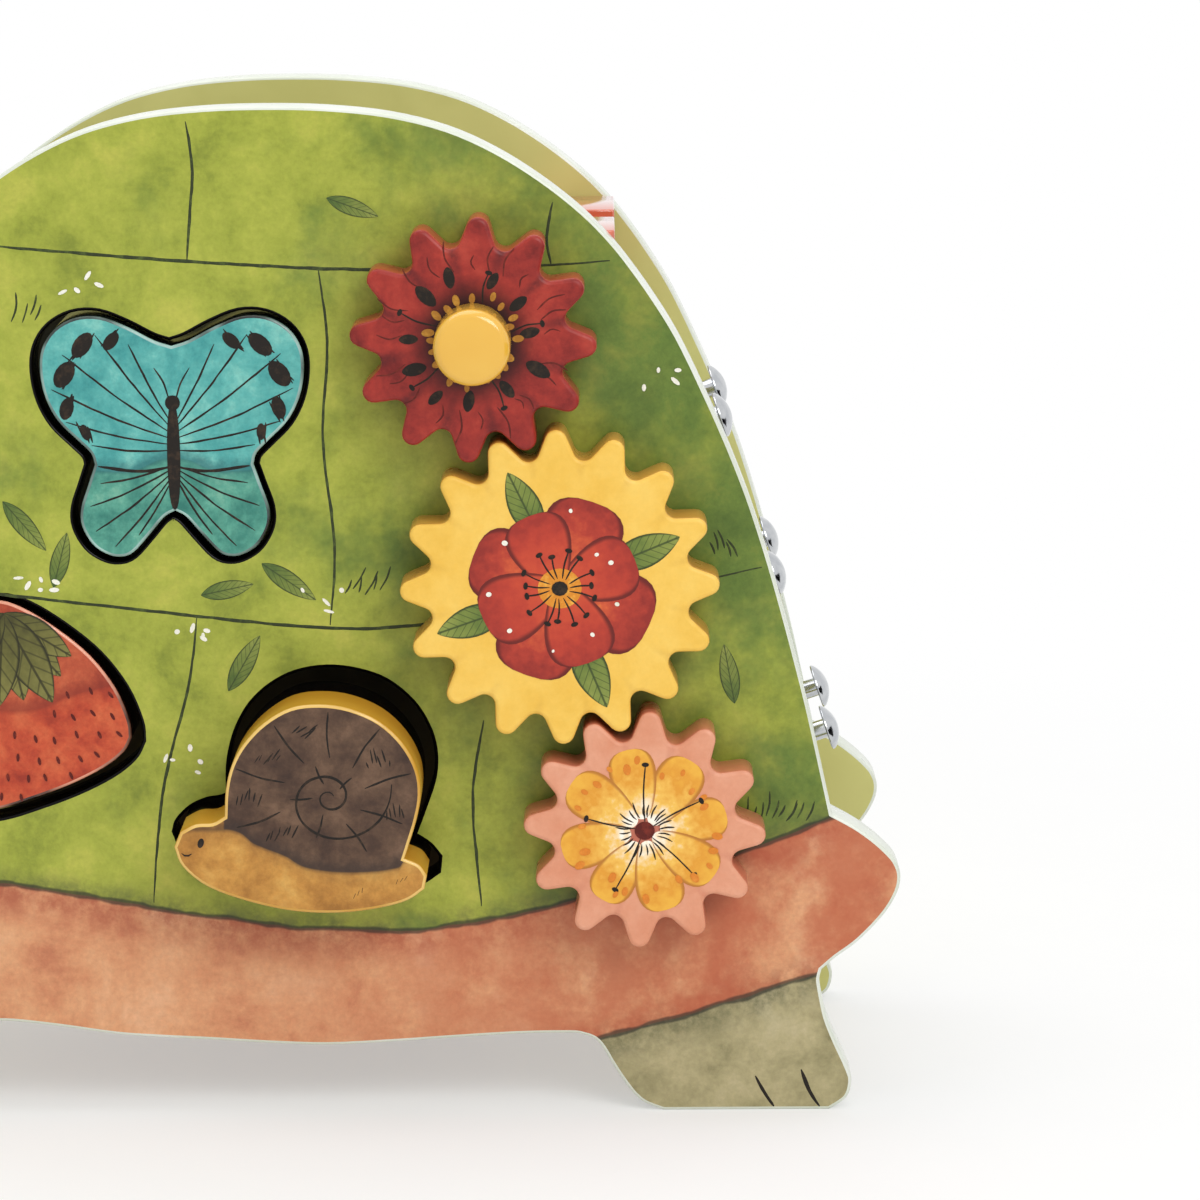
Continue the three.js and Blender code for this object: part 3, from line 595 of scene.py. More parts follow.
def back_board_finish(polygon):
    """The olive lacquer with painted shade of the hollow inside, olive behind, and sage on the edge."""
    if abs(polygon.normal.y) <= FLAT:
        return 2
    return 0 if polygon.normal.y < 0 else 1


paint(front_board, [shell_material, olive_lacquer, edge_lacquer, cut_lacquer], front_board_finish)
back_board = board("back_board", [panel_outline], back_inner, panel_back, panel_round)
paint(back_board, [hollow_lacquer, olive_lacquer, edge_lacquer], back_board_finish)
for piece, node in ((front_board, "front_panel"), (back_board, "back_panel")):
    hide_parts(node)
    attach(piece, "frame")
print("boards:", len(front_board.data.polygons), len(back_board.data.polygons), "faces")

# %% [markdown]
# ## Drawn lines and stamped marks
# The prints are drawn with a pen and a brush: lines that swell and taper, and small leaves, petals
# and dots. They could be drawn in the shader, but each shape would need its own chain of nodes.
# Here Geometry Nodes make them as thin films of paint that lie on the board. One tree follows the
# drawn strokes with a flat profile. The other sets a marked shape on every point of a small mesh.

# %% Geometry Nodes helpers
def new_tree(name, **inputs):
    """An empty Geometry Nodes tree with named inputs."""
    tree = bpy.data.node_groups.new(name, "GeometryNodeTree")
    tree.interface.new_socket("Geometry", in_out="INPUT", socket_type="NodeSocketGeometry")
    tree.interface.new_socket("Geometry", in_out="OUTPUT", socket_type="NodeSocketGeometry")
    for label, kind in inputs.items():
        tree.interface.new_socket(label.replace("_", " "), in_out="INPUT", socket_type="NodeSocket" + kind)
    return tree, partial(add, tree), tree.nodes.new("NodeGroupInput").outputs


def grown(name, tree, start=None, **values):
    """Runs a tree on a start mesh and returns the result as a plain mesh object."""
    piece = link(bpy.data.objects.new(name, start or bpy.data.meshes.new(name)))
    modifier = piece.modifiers.new(name, "NODES")
    modifier.node_group = tree
    for item in tree.interface.items_tree:
        if item.in_out == "INPUT" and item.name.replace(" ", "_") in values:
            modifier[item.identifier] = values[item.name.replace(" ", "_")]
    view = bpy.context.evaluated_depsgraph_get()
    mesh = bpy.data.meshes.new_from_object(piece.evaluated_get(view))
    piece.modifiers.clear()
    piece.data = mesh
    mesh.name = name
    return piece


# %% The pen: a line that swells, tapers and shakes
pen_tree, node, given = new_tree("pen_lines", Step="Float", Shake="Float", Shake_Size="Float", Seed="Float",
                                 Ends="Float", Thickness="Float", Finish="Material")
drawn_curve = node("GeometryNodeMeshToCurve", given["Geometry"])
drawn_curve = node("GeometryNodeCurveSplineType", drawn_curve, spline_type="CATMULL_ROM")
drawn_curve = node("GeometryNodeResampleCurve", drawn_curve, Length=given["Step"], mode="LENGTH")
size = node("ShaderNodeMath", 1, given["Shake Size"], operation="DIVIDE")
hand = node("ShaderNodeTexNoise", noise_dimensions="4D", W=given["Seed"], Scale=size, Detail=1.0)
moved = node("ShaderNodeVectorMath", hand.outputs["Color"], (0.5, 0.5, 0.5), operation="SUBTRACT")
moved = node("ShaderNodeVectorMath", moved, node("ShaderNodeCombineXYZ", given["Shake"], given["Shake"]),
             operation="MULTIPLY")
drawn_curve = node("GeometryNodeSetPosition", drawn_curve, Offset=moved)
drawn_curve = node("GeometryNodeSetCurveNormal", drawn_curve, mode="Z_UP")
share = node("GeometryNodeSplineParameter").outputs["Factor"]
from_middle = node("ShaderNodeMath", node("ShaderNodeMath", share, 2, -1, operation="MULTIPLY_ADD"),
                   operation="ABSOLUTE")
taper = node("ShaderNodeMapRange", node("ShaderNodeMath", from_middle, 5, operation="POWER"), 0, 1, 1,
             given["Ends"])
weight = node("ShaderNodeTexNoise", noise_dimensions="4D", W=given["Seed"], Scale=size, Detail=3.0)
press = node("ShaderNodeMapRange", weight, 0.3, 0.7, 0.7, 1.2)
width = node("ShaderNodeMath", node("GeometryNodeInputNamedAttribute", "width", data_type="FLOAT"), taper,
             operation="MULTIPLY")
width = node("ShaderNodeMath", width, press, operation="MULTIPLY")
profile = node("GeometryNodeTransform", node("GeometryNodeCurvePrimitiveCircle", 6, Radius=0.5),
               Scale=node("ShaderNodeCombineXYZ", 1, given["Thickness"], 1))
film = node("GeometryNodeCurveToMesh", drawn_curve, profile, Scale=width, Fill_Caps=True)
real = node("GeometryNodeRealizeInstances", film)
node("NodeGroupOutput", node("GeometryNodeSetMaterial", real, True, given["Finish"]))

# %% The stamp: a pointed or round mark, set on every point
stamp_tree, node, given = new_tree("stamped_marks", Sides="Int", Pointed="Float", Lean="Float",
                                   Thickness="Float", Finish="Material")
disc = node("GeometryNodeMeshCylinder", given["Sides"], 1, 1, 1, 1, fill_type="NGON").outputs["Mesh"]
at = node("ShaderNodeSeparateXYZ", node("GeometryNodeInputPosition"))
blunt = node("ShaderNodeMath", node("ShaderNodeMath", at.outputs["Y"], operation="ABSOLUTE"),
             given["Pointed"], operation="POWER")
blunt = node("ShaderNodeMath", blunt, node("ShaderNodeMath", at.outputs["Y"], operation="SIGN"),
             operation="MULTIPLY")
leaned = node("ShaderNodeMath", at.outputs["X"], given["Lean"], 1, operation="MULTIPLY_ADD")
across = node("ShaderNodeMath", blunt, leaned, operation="MULTIPLY")
flat = node("ShaderNodeCombineXYZ", at.outputs["X"], across)
tagged = node("GeometryNodeStoreNamedAttribute", disc, True, "stamp", flat, data_type="FLOAT_VECTOR")
tall = node("ShaderNodeMath", at.outputs["Z"], given["Thickness"], operation="MULTIPLY")
shaped = node("ShaderNodeCombineXYZ", at.outputs["X"], across, tall)
shaped = node("GeometryNodeSetPosition", tagged, True, shaped)
turn, long, wide = [node("GeometryNodeInputNamedAttribute", label, data_type="FLOAT")
                    for label in ("turn", "long", "wide")]
turned_to = node("FunctionNodeEulerToRotation", node("ShaderNodeCombineXYZ", 0, 0, turn))
stretch = node("ShaderNodeCombineXYZ", long, wide, 1)
set_stamps = node("GeometryNodeInstanceOnPoints", node("GeometryNodeMeshToPoints", given["Geometry"]),
                  Instance=shaped, Rotation=turned_to, Scale=stretch)
real = node("GeometryNodeRealizeInstances", set_stamps)
node("NodeGroupOutput", node("GeometryNodeSetMaterial", real, True, given["Finish"]))
print("pen and stamp:", len(pen_tree.nodes), len(stamp_tree.nodes), "nodes")


# %% Drawing on a face
def marked_mesh(name, points, edges=(), **columns):
    """A mesh of points in mm as (x, height, lift), with a number for each point in every column."""
    mesh = bpy.data.meshes.new(name)
    mesh.from_pydata([(x * MM, up * MM, lift * MM) for x, up, lift in points], edges, [])
    for label, values in columns.items():
        mesh.attributes.new(label, "FLOAT", "POINT").data.foreach_set("value", values)
    return mesh


def on_face(piece, middle, face, body):
    """Puts something drawn flat in front of a face, round a middle (x, z), on a body."""
    to_front = Matrix.Translation((middle[0], face, middle[1])) @ Matrix.Rotation(math.pi / 2, 4, "X")
    piece.data.transform(to_front)
    closed_mesh(piece.data, piece.name, merge=0.0002 * MM)
    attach(piece, body)
    return piece


def pen(name, strokes, middle, face, body, finish_of, shake=0.5):
    """Strokes as (width, points), in mm from the middle."""
    points, edges, widths = [], [], []
    for width, stroke in strokes:
        edges += [(len(points) + i, len(points) + i + 1) for i in range(len(stroke) - 1)]
        points += [(x, up, 0) for x, up in stroke]
        widths += [width * MM] * len(stroke)
    start = marked_mesh(name, points, edges, width=widths)
    film = grown(name, pen_tree, start, Step=0.8 * MM, Shake=shake * MM, Shake_Size=5 * MM, Seed=3.0,
                 Ends=0.35, Thickness=0.12, Finish=finish_of)
    return on_face(film, middle, face, body)


def stamps(name, spots, middle, face, body, finish_of, pointed=1.0, lean=0.0, lift=0.02, sides=24):
    """Marks as (x, up, turn in degrees, half length, half width), in mm from the middle."""
    points = [(x, up, lift + 0.006 * i) for i, (x, up, *_) in enumerate(spots)]
    start = marked_mesh(
        name, points, turn=[math.radians(spot[2]) for spot in spots],
        long=[spot[3] * MM for spot in spots], wide=[spot[4] * MM for spot in spots])
    film = grown(name, stamp_tree, start, Sides=sides, Pointed=pointed, Lean=lean, Thickness=0.04 * MM,
                 Finish=finish_of)
    return on_face(film, middle, face, body)


def sway(size=1):
    """A small difference of the hand, up to a size either way."""
    return random.uniform(-size, size)


# %% Ink, and the paint of leaves and petals
def ink(name, colour, thin):
    """Dry black-brown ink: nearly matt, and thinner in places, so that it shows the pen."""
    material, node, shader = finish(name, Roughness=0.55, Specular_IOR_Level=0.25)
    fill(shader, Base_Color=watercolour(node, millimetres(node), [colour, colour, thin], wash=3, grain=0.8))
    return material


def brushed_mark(name, tones, edge, veins, pointed, lean, ribs=0.0):
    """Paint that runs from base to tip, with a dark outline and veins, read from the stamp's own place."""
    material, node, shader = finish(name, Specular_IOR_Level=0.32)
    place = millimetres(node)
    own_place = node("ShaderNodeAttribute", attribute_name="stamp").outputs["Vector"]
    split = node("ShaderNodeSeparateXYZ", own_place)
    far, aside = split.outputs["X"], node("ShaderNodeMath", split.outputs["Y"], operation="ABSOLUTE")
    mottle = node("ShaderNodeTexNoise", place, Scale=1 / 2.2, Detail=4.0)
    along = node("ShaderNodeMath", node("ShaderNodeMath", mottle, 1.6, far, operation="MULTIPLY_ADD"), 0.8,
                 operation="SUBTRACT")
    ramp = node("ShaderNodeValToRGB", node("ShaderNodeMapRange", along, -1, 1))
    steps = ramp.color_ramp.elements
    while len(steps) < len(tones):
        steps.new(0.5)
    for i, tone in enumerate(tones):
        steps[i].position, steps[i].color = i / (len(tones) - 1), linear(tone)
    room = node("ShaderNodeMath", node("ShaderNodeMath", far, far, operation="MULTIPLY"), -1, 1.0001,
                operation="MULTIPLY_ADD")
    room = node("ShaderNodeMath", room, pointed / 2, operation="POWER")
    room = node("ShaderNodeMath", room, node("ShaderNodeMath", far, lean, 1, operation="MULTIPLY_ADD"),
                operation="MULTIPLY")
    reach = node("ShaderNodeMath", aside, room, operation="DIVIDE")
    outline = node("ShaderNodeMapRange", reach, 0.8, 0.94, 0, 0.9, **SOFT_STEP)
    midrib = node("ShaderNodeMapRange", aside, 0.09, 0.03, 0, 0.85, **SOFT_STEP)
    slant = node("ShaderNodeMath", node("ShaderNodeMath", aside, -0.5, far, operation="MULTIPLY_ADD"), ribs,
                 operation="MULTIPLY")
    fold = node("ShaderNodeMath", node("ShaderNodeMath", slant, operation="FRACT"), 0.5, operation="SUBTRACT")
    rib = node("ShaderNodeMapRange", node("ShaderNodeMath", fold, operation="ABSOLUTE"), 0.12, 0.03, 0, 0.6,
               **SOFT_STEP)
    colour = node("ShaderNodeMix", rib if ribs else 0.0, ramp, veins, **COLOURS)
    colour = node("ShaderNodeMix", midrib if ribs else 0.0, colour, veins, **COLOURS)
    fill(shader, Base_Color=node("ShaderNodeMix", outline, colour, edge, **COLOURS))
    varnish(node, shader, place)
    return material


LEAF = {"pointed": 1.7, "lean": -0.15}
PETAL = {"pointed": 0.75, "lean": 0.4}
black_ink = ink("printed_black_ink", "#1d1712", "#3a2c20")
green_ink = ink("printed_green_black_ink", "#30381f", "#4d5a2c")
rust_ink = ink("printed_rust_ink", "#5a1c16", "#7c2c20")
white_dots = ink("printed_white_gouache", "#f1efe2", "#dfe0c8")
leaf_green = brushed_mark("olive_leaf_brushwork", ["#47602a", "#6f7f38", "#8a9446"], "#2e3b1b", "#35431f",
                          ribs=4.0, **LEAF)
print("inks and paints ready")

# %% [markdown]
# ## The drawing on the shell
# Long curved joints run over the shell like courses of stones, with a few upright joints between
# them. Small leaves, tufts and white flecks lie between the shapes, and each foot has two claws.

# %% Joints and claws
def step_from(start, distance, turn):
    """The place that lies a distance away from a start, at a turn in radians."""
    return start[0] + distance * math.cos(turn), start[1] + distance * math.sin(turn)


shell_at = (shell_middle, 0)
courses = [
    (0.9, [(-80, 231.6), (-69.5, 230.5), (-23.4, 226.6), (22.8, 224), (60, 224.3), (87.5, 225.9)]),
    (0.9, [(-124, 146.5), (-100, 142.8), (-70.5, 140), (-30, 135.2), (6.7, 131.3), (32.6, 131), (80, 136.5),
           (126.4, 146.1)]),
    (0.8, [(-20, 262), (-18.6, 250), (-19.5, 238), (-20.5, 226.8)]),
    (0.8, [(73, 241), (71.5, 232), (72.5, 225)]),
    (0.8, [(13, 224), (15, 205), (13.5, 180), (16, 152), (14.5, 131.5)]),
    (0.8, [(-95, 214), (-98, 190), (-95.5, 165), (-97, 143)]),
    (0.8, [(-20, 134), (-22.5, 116), (-29, 92), (-31.5, 75), (-33, 57.5)]),
    (0.8, [(54, 106), (51, 85), (53, 56)]),
    (0.8, [(-110, 143), (-112, 120), (-109, 96), (-111, 73)]),
]
claws = [
    (1.0, [(side * (from_side + 4.9), 0.9), (side * (from_side + 2), 5.5), (side * from_side, tall)])
    for side in (-1, 1) for from_side, tall in ((124.9, 9.4), (137, 11.1))
]
print("shell drawing:", len(courses), "joints,", len(claws), "claws")

# %% Tufts, leaves, flecks and the eye
random.seed(4)
tufts = []
for x, up, lean, count in ((24, 140, 25, 6), (131, 79, 25, 10), (-119, 80, -25, 7), (118, 150, -20, 5),
                           (-62, 212, 15, 5)):
    for i in range(count):
        turn = math.radians(90 - lean + sway(14))
        start = (x + (i - count / 2) * 1.7 + sway(0.5), up + sway(1.2))
        tall = random.uniform(3.5, 7.5)
        tufts.append((0.55, [step_from(start, r, way)
                             for r, way in ((0, 0), (tall / 2, turn), (tall, turn + 0.1))]))
pen("shell_joints", courses + tufts, shell_at, panel_front, "frame", green_ink)
pen("claw_lines", claws, shell_at, panel_front, "frame", black_ink, shake=0.3)
stamps("shell_leaves", [
    (4, 143, -35, 8.5, 2.6), (-12, 141, 12, 7, 2.4), (-8, 121.5, 60, 8.5, 2.7), (-64, 158, -50, 8.5, 2.5),
    (-55, 149, 75, 7.5, 2.4), (22, 240, -20, 7, 2.2), (118, 118, 100, 8, 2.5), (-78, 198, 40, 8, 2.6),
], shell_at, panel_front, "frame", leaf_green, sides=32, **LEAF)
flecks = []
for x, up, count in ((-22, 127, 5), (12, 137, 4), (-60, 141, 6), (-24, 96, 5), (100, 196, 4), (-48, 222, 4)):
    for i in range(count):
        flecks.append((x + sway(6), up + sway(4), random.uniform(0, 180),
                       random.uniform(0.7, 1.5), random.uniform(0.4, 0.7)))
stamps("shell_flecks", flecks, shell_at, panel_front, "frame", white_dots, sides=8)
stamps("tortoise_eye", [(-194, 139, 80, 3.4, 2.4)], shell_at, panel_front, "frame", black_ink)
stamps("tortoise_eye_glint", [(-193.2, 140.4, 80, 0.9, 0.7)], shell_at, panel_front, "frame", white_dots,
       lift=0.05, sides=12)
pen("tortoise_mouth", [(0.9, [(-213, 118), (-206, 113.5), (-197, 113)])], shell_at, panel_front, "frame",
    black_ink)
print("on the shell:", len(tufts), "tuft strokes and", len(flecks), "flecks")

# %% [markdown]
# ## The toothed wheels
# Each wheel is a flower-like gear whose teeth are round lobes: a circle on each tip, a circle in
# each valley, and a straight flank that touches both. The same rule makes a wheel of any number of
# teeth, so Geometry Nodes build it. A grid is wrapped round the rule: its columns walk along the
# tooth line, its rows walk over the rounded edge from front to back, and two flat caps close it.


# %% The rule of a toothed wheel
TOOTH_COLUMNS = 16
EDGE_ROWS = 8
wheel_tree, node, given = new_tree(
    "toothed_wheel", Teeth="Int", Tip_Radius="Float", Root_Radius="Float", Tip_Round="Float",
    Root_Round="Float", First_Tooth="Float", Thickness="Float", Edge_Round="Float", Finish="Material")
half_pitch = node("ShaderNodeMath", math.pi, given["Teeth"], operation="DIVIDE")
tip_middle = node("ShaderNodeMath", given["Tip Radius"], given["Tip Round"], operation="SUBTRACT")
root_middle = node("ShaderNodeMath", given["Root Radius"], given["Root Round"], operation="ADD")
valley_x = node("ShaderNodeMath", root_middle, node("ShaderNodeMath", half_pitch, operation="COSINE"),
                operation="MULTIPLY")
across_x = node("ShaderNodeMath", valley_x, tip_middle, operation="SUBTRACT")
across_z = node("ShaderNodeMath", root_middle, node("ShaderNodeMath", half_pitch, operation="SINE"),
                operation="MULTIPLY")
across = node("ShaderNodeCombineXYZ", across_x, across_z)
apart = node("ShaderNodeVectorMath", across, operation="LENGTH").outputs["Value"]
rounds = node("ShaderNodeMath", given["Tip Round"], given["Root Round"], operation="ADD")
lean = node("ShaderNodeMath", node("ShaderNodeMath", rounds, apart, operation="DIVIDE"),
            operation="ARCCOSINE")
flank = node("ShaderNodeMath", node("ShaderNodeMath", across_z, across_x, operation="ARCTAN2"), lean,
             operation="SUBTRACT")

# %% Which arc a point of the wheel lies on
index = node("GeometryNodeInputIndex")
row = node("GeometryNodeInputNamedAttribute", "row", data_type="FLOAT")
column = node("GeometryNodeInputNamedAttribute", "column", data_type="FLOAT")
column_share = node("ShaderNodeMath", column, TOOTH_COLUMNS, operation="DIVIDE")
tooth = node("ShaderNodeMath", node("ShaderNodeMath", column_share, 0.001), operation="FLOOR")
in_tooth = node("ShaderNodeMath", node("ShaderNodeMath", tooth, -TOOTH_COLUMNS, column,
                                       operation="MULTIPLY_ADD"), operation="ROUND")
in_root = node("ShaderNodeMath", in_tooth, TOOTH_COLUMNS / 2 - 0.5, operation="GREATER_THAN")
arc_step = node("ShaderNodeMath", in_root, -TOOTH_COLUMNS / 2, in_tooth, operation="MULTIPLY_ADD")
share = node("ShaderNodeMath", arc_step, TOOTH_COLUMNS / 2 - 1, operation="DIVIDE")
pitch = node("ShaderNodeMath", half_pitch, 2, operation="MULTIPLY")
tip_turn = node("ShaderNodeMath", tooth, pitch, given["First Tooth"], operation="MULTIPLY_ADD")
middle_turn = node("ShaderNodeMath", in_root, half_pitch, tip_turn, operation="MULTIPLY_ADD")
middle_radius = node("ShaderNodeMix", in_root, tip_middle, root_middle)
tip_start = node("ShaderNodeMath", flank, -1, operation="MULTIPLY")
tip_arc = node("ShaderNodeMapRange", share, 0, 1, tip_start, flank)
root_start = node("ShaderNodeMath", flank, math.pi)
root_end = node("ShaderNodeMath", node("ShaderNodeMath", pitch, math.pi), flank, operation="SUBTRACT")
root_arc = node("ShaderNodeMapRange", share, 0, 1, root_start, root_end)
arc_turn = node("ShaderNodeMath", tip_turn, node("ShaderNodeMix", in_root, tip_arc, root_arc))

# %% How far the rounded edge draws it in, and its place
from_back = node("ShaderNodeMath", EDGE_ROWS - 1, row, operation="SUBTRACT")
edge_row = node("ShaderNodeMath", row, from_back, operation="MINIMUM")
edge_turn = node("ShaderNodeMath", edge_row, math.pi / (EDGE_ROWS - 2), operation="MULTIPLY")
inset_share = node("ShaderNodeMath", 1, node("ShaderNodeMath", edge_turn, operation="SINE"),
                   operation="SUBTRACT")
inset = node("ShaderNodeMath", inset_share, given["Edge Round"], operation="MULTIPLY")
sunk_share = node("ShaderNodeMath", 1, node("ShaderNodeMath", edge_turn, operation="COSINE"),
                  operation="SUBTRACT")
sunk = node("ShaderNodeMath", sunk_share, given["Edge Round"], operation="MULTIPLY")
in_back = node("ShaderNodeMath", row, EDGE_ROWS / 2 - 0.5, operation="GREATER_THAN")
depth = node("ShaderNodeMix", in_back, sunk, node("ShaderNodeMath", given["Thickness"], sunk,
                                                  operation="SUBTRACT"))
tip_arm = node("ShaderNodeMath", given["Tip Round"], inset, operation="SUBTRACT")
root_arm = node("ShaderNodeMath", given["Root Round"], inset)
arm = node("ShaderNodeMix", in_root, tip_arm, root_arm)
plane = []
for turning in ("COSINE", "SINE"):
    out = node("ShaderNodeMath", middle_radius, node("ShaderNodeMath", middle_turn, operation=turning),
               operation="MULTIPLY")
    plane.append(node("ShaderNodeMath", arm, node("ShaderNodeMath", arc_turn, operation=turning), out,
                      operation="MULTIPLY_ADD"))
place = node("ShaderNodeCombineXYZ", plane[0], depth, plane[1])

# %% The wrapped grid and its two caps
columns = node("ShaderNodeMath", given["Teeth"], TOOTH_COLUMNS, operation="MULTIPLY")
wrap = node("GeometryNodeMeshGrid", 1, 1, node("ShaderNodeMath", columns, 1), EDGE_ROWS)
parts = []
for rows, mesh in (
    (None, wrap), (0, node("GeometryNodeMeshCircle", columns, fill_type="NGON")),
    (EDGE_ROWS - 1, node("GeometryNodeMeshCircle", columns, fill_type="NGON")),
):
    per_column = EDGE_ROWS if rows is None else 1
    column_at = node("ShaderNodeMath", node("ShaderNodeMath", index, per_column, operation="DIVIDE"),
                     operation="FLOOR")
    row_at = node("ShaderNodeMath", index, EDGE_ROWS, operation="FLOORED_MODULO") if rows is None else rows
    mesh = node("GeometryNodeStoreNamedAttribute", mesh, True, "column", column_at, data_type="FLOAT")
    parts.append(node("GeometryNodeStoreNamedAttribute", mesh, True, "row", row_at, data_type="FLOAT"))
joined = node("GeometryNodeJoinGeometry")
for part in reversed(parts):
    wheel_tree.links.new(part.outputs[0], joined.inputs[0])
placed = node("GeometryNodeSetPosition", joined, True, place)
sewn = node("GeometryNodeMergeByDistance", placed, True, Distance=0.002 * MM)
whole = node("GeometryNodeRealizeInstances", sewn)
finished = node("GeometryNodeSetMaterial", whole, True, given["Finish"])
node("NodeGroupOutput", finished)
print("wheel rule:", len(wheel_tree.nodes), "nodes")

# %% [markdown]
# ## The paint of the wheels
# The wheels carry painted prints too, each in its own warm colour, and their rims are sprayed in a
# deeper tone. The ground of a print is drawn in polar form, because a wheel repeats round its axle:
# the distance from the axle gives the darker heart, and one folded turn gives the dark strokes that
# run in from all the valleys at once. Noise shakes both like a hand.


# %% Polar helpers for a wheel's print
def polar(node, place):
    """The distance from the axle in mm, shaken a little, and the turn round it in radians."""
    split = node("ShaderNodeSeparateXYZ", place)
    flat = node("ShaderNodeCombineXYZ", split.outputs["X"], 0, split.outputs["Z"])
    radius = node("ShaderNodeVectorMath", flat, operation="LENGTH").outputs["Value"]
    hand = node("ShaderNodeTexNoise", place, Scale=1 / 5, Detail=3.0)
    shake = node("ShaderNodeMapRange", hand, 0.25, 0.75, -0.5, 0.5)
    turn = node("ShaderNodeMath", split.outputs["Z"], split.outputs["X"], operation="ARCTAN2")
    return node("ShaderNodeMath", radius, shake).outputs[0], turn.outputs[0]


def ovals(node, radius, turn, count, start, middle, long, wide):
    """How far a point is outside the nearest of a ring of ovals: below 0 inside, 0 on it."""
    share = 2 * math.pi / count
    moved = node("ShaderNodeMath", turn, share / 2 - start)
    folded = node("ShaderNodeMath", moved, share, operation="FLOORED_MODULO")
    off = node("ShaderNodeMath", folded, share / 2, operation="SUBTRACT")
    out = node("ShaderNodeMath", radius, node("ShaderNodeMath", off, operation="COSINE"),
               operation="MULTIPLY")
    side = node("ShaderNodeMath", radius, node("ShaderNodeMath", off, operation="SINE"),
                operation="MULTIPLY")
    out = node("ShaderNodeMath", out, middle, operation="SUBTRACT")
    shape = node("ShaderNodeCombineXYZ", node("ShaderNodeMath", out, long, operation="DIVIDE"),
                 node("ShaderNodeMath", side, wide, operation="DIVIDE"))
    size = node("ShaderNodeVectorMath", shape, operation="LENGTH").outputs["Value"]
    return node("ShaderNodeMath", size, 1, operation="SUBTRACT").outputs[0]


def wheel_print(name, centre, base, teeth, first_tooth, root, valley_ink, heart, paper_depth):
    """A wheel's ground, satin under varnish: a wash, dark strokes from the valleys, a dark heart."""
    material, node, shader = finish(name, Specular_IOR_Level=0.32)
    place = millimetres(node, centre)
    radius, turn = polar(node, place)
    colour = watercolour(node, place, base, wash=12, paper_depth=paper_depth)
    smudge = node("ShaderNodeTexNoise", place, Scale=1 / 3, Detail=5.0, Roughness=0.7)
    heart_tone, heart_from, heart_to, heart_weight = heart
    inner = node("ShaderNodeMapRange", radius, heart_to, heart_from, 0, heart_weight, **SOFT_STEP)
    colour = node("ShaderNodeMix", inner, colour, heart_tone, **COLOURS)
    tone, length, wide, weight = valley_ink
    valley = ovals(node, radius, turn, teeth, first_tooth + math.pi / teeth, root, length, wide)
    broken = node("ShaderNodeMapRange", smudge, 0.35, 0.6, weight / 3, weight)
    line = node("ShaderNodeMath", node("ShaderNodeMapRange", valley, 0, -0.9, **SOFT_STEP), broken,
                operation="MULTIPLY")
    fill(shader, Base_Color=node("ShaderNodeMix", line, colour, tone, **COLOURS))
    varnish(node, shader, place)
    return material


# %% The sizes and paints of the wheels
tooth_pitch, tooth_rise, tooth_depth = 15.08 * MM, 2.5 * MM, 4.9 * MM
tip_round, valley_round, wheel_edge_round = 2.9 * MM, 2.7 * MM, 1.1 * MM
# The teeth, the turn of the first tooth, and a name for the paint
wheels = {
    "red": (12, math.radians(87), "red_paint"),
    "yellow": (16, math.radians(113.55), "yellow_paint"),
    "pink": (12, math.radians(117), "pink_paint"),
}
# Deeper, shinier lacquers on the rims, so that the teeth stand out from the faces
wheel_sides = {
    "red": lacquer("brick_red_lacquer_on_wheel_rim", "#a8382c", "#b04032", 0.3, coat=0.2),
    "yellow": lacquer("ochre_lacquer_on_wheel_rim", "#cf9a42", "#c68f38", 0.3, coat=0.2),
    "pink": lacquer("salmon_lacquer_on_wheel_rim", "#cc7a5c", "#c47254", 0.3, coat=0.2),
}
wheel_bases = {
    "red": ["#701714", "#8c2620", "#a03026", "#ae3e30"],
    "yellow": ["#e9b94a", "#edbf52", "#f0c45a", "#f2c962"],
    "pink": ["#d68d6c", "#da9474", "#de9b7c", "#e2a284"],
}
# The stroke from a valley: its colour, half its length and width in mm, and its weight
wheel_marks = {
    "red": ("#4a1014", 12, 2.2, 0.75),
    "yellow": ("#c08a30", 7.0, 1.6, 0.25),
    "pink": ("#b05a48", 7.0, 1.6, 0.25),
}
# The heart: its colour, where it is full and where it ends in mm from the axle, and its weight
wheel_hearts = {
    "red": ("#2c0306", 9.5, 18, 1.0),
    "yellow": ("#dca23c", 4, 16, 0.5),
    "pink": ("#a03a34", 4, 11, 0.6),
}
print("wheels:", {colour: values[0] for colour, values in wheels.items()}, "teeth")

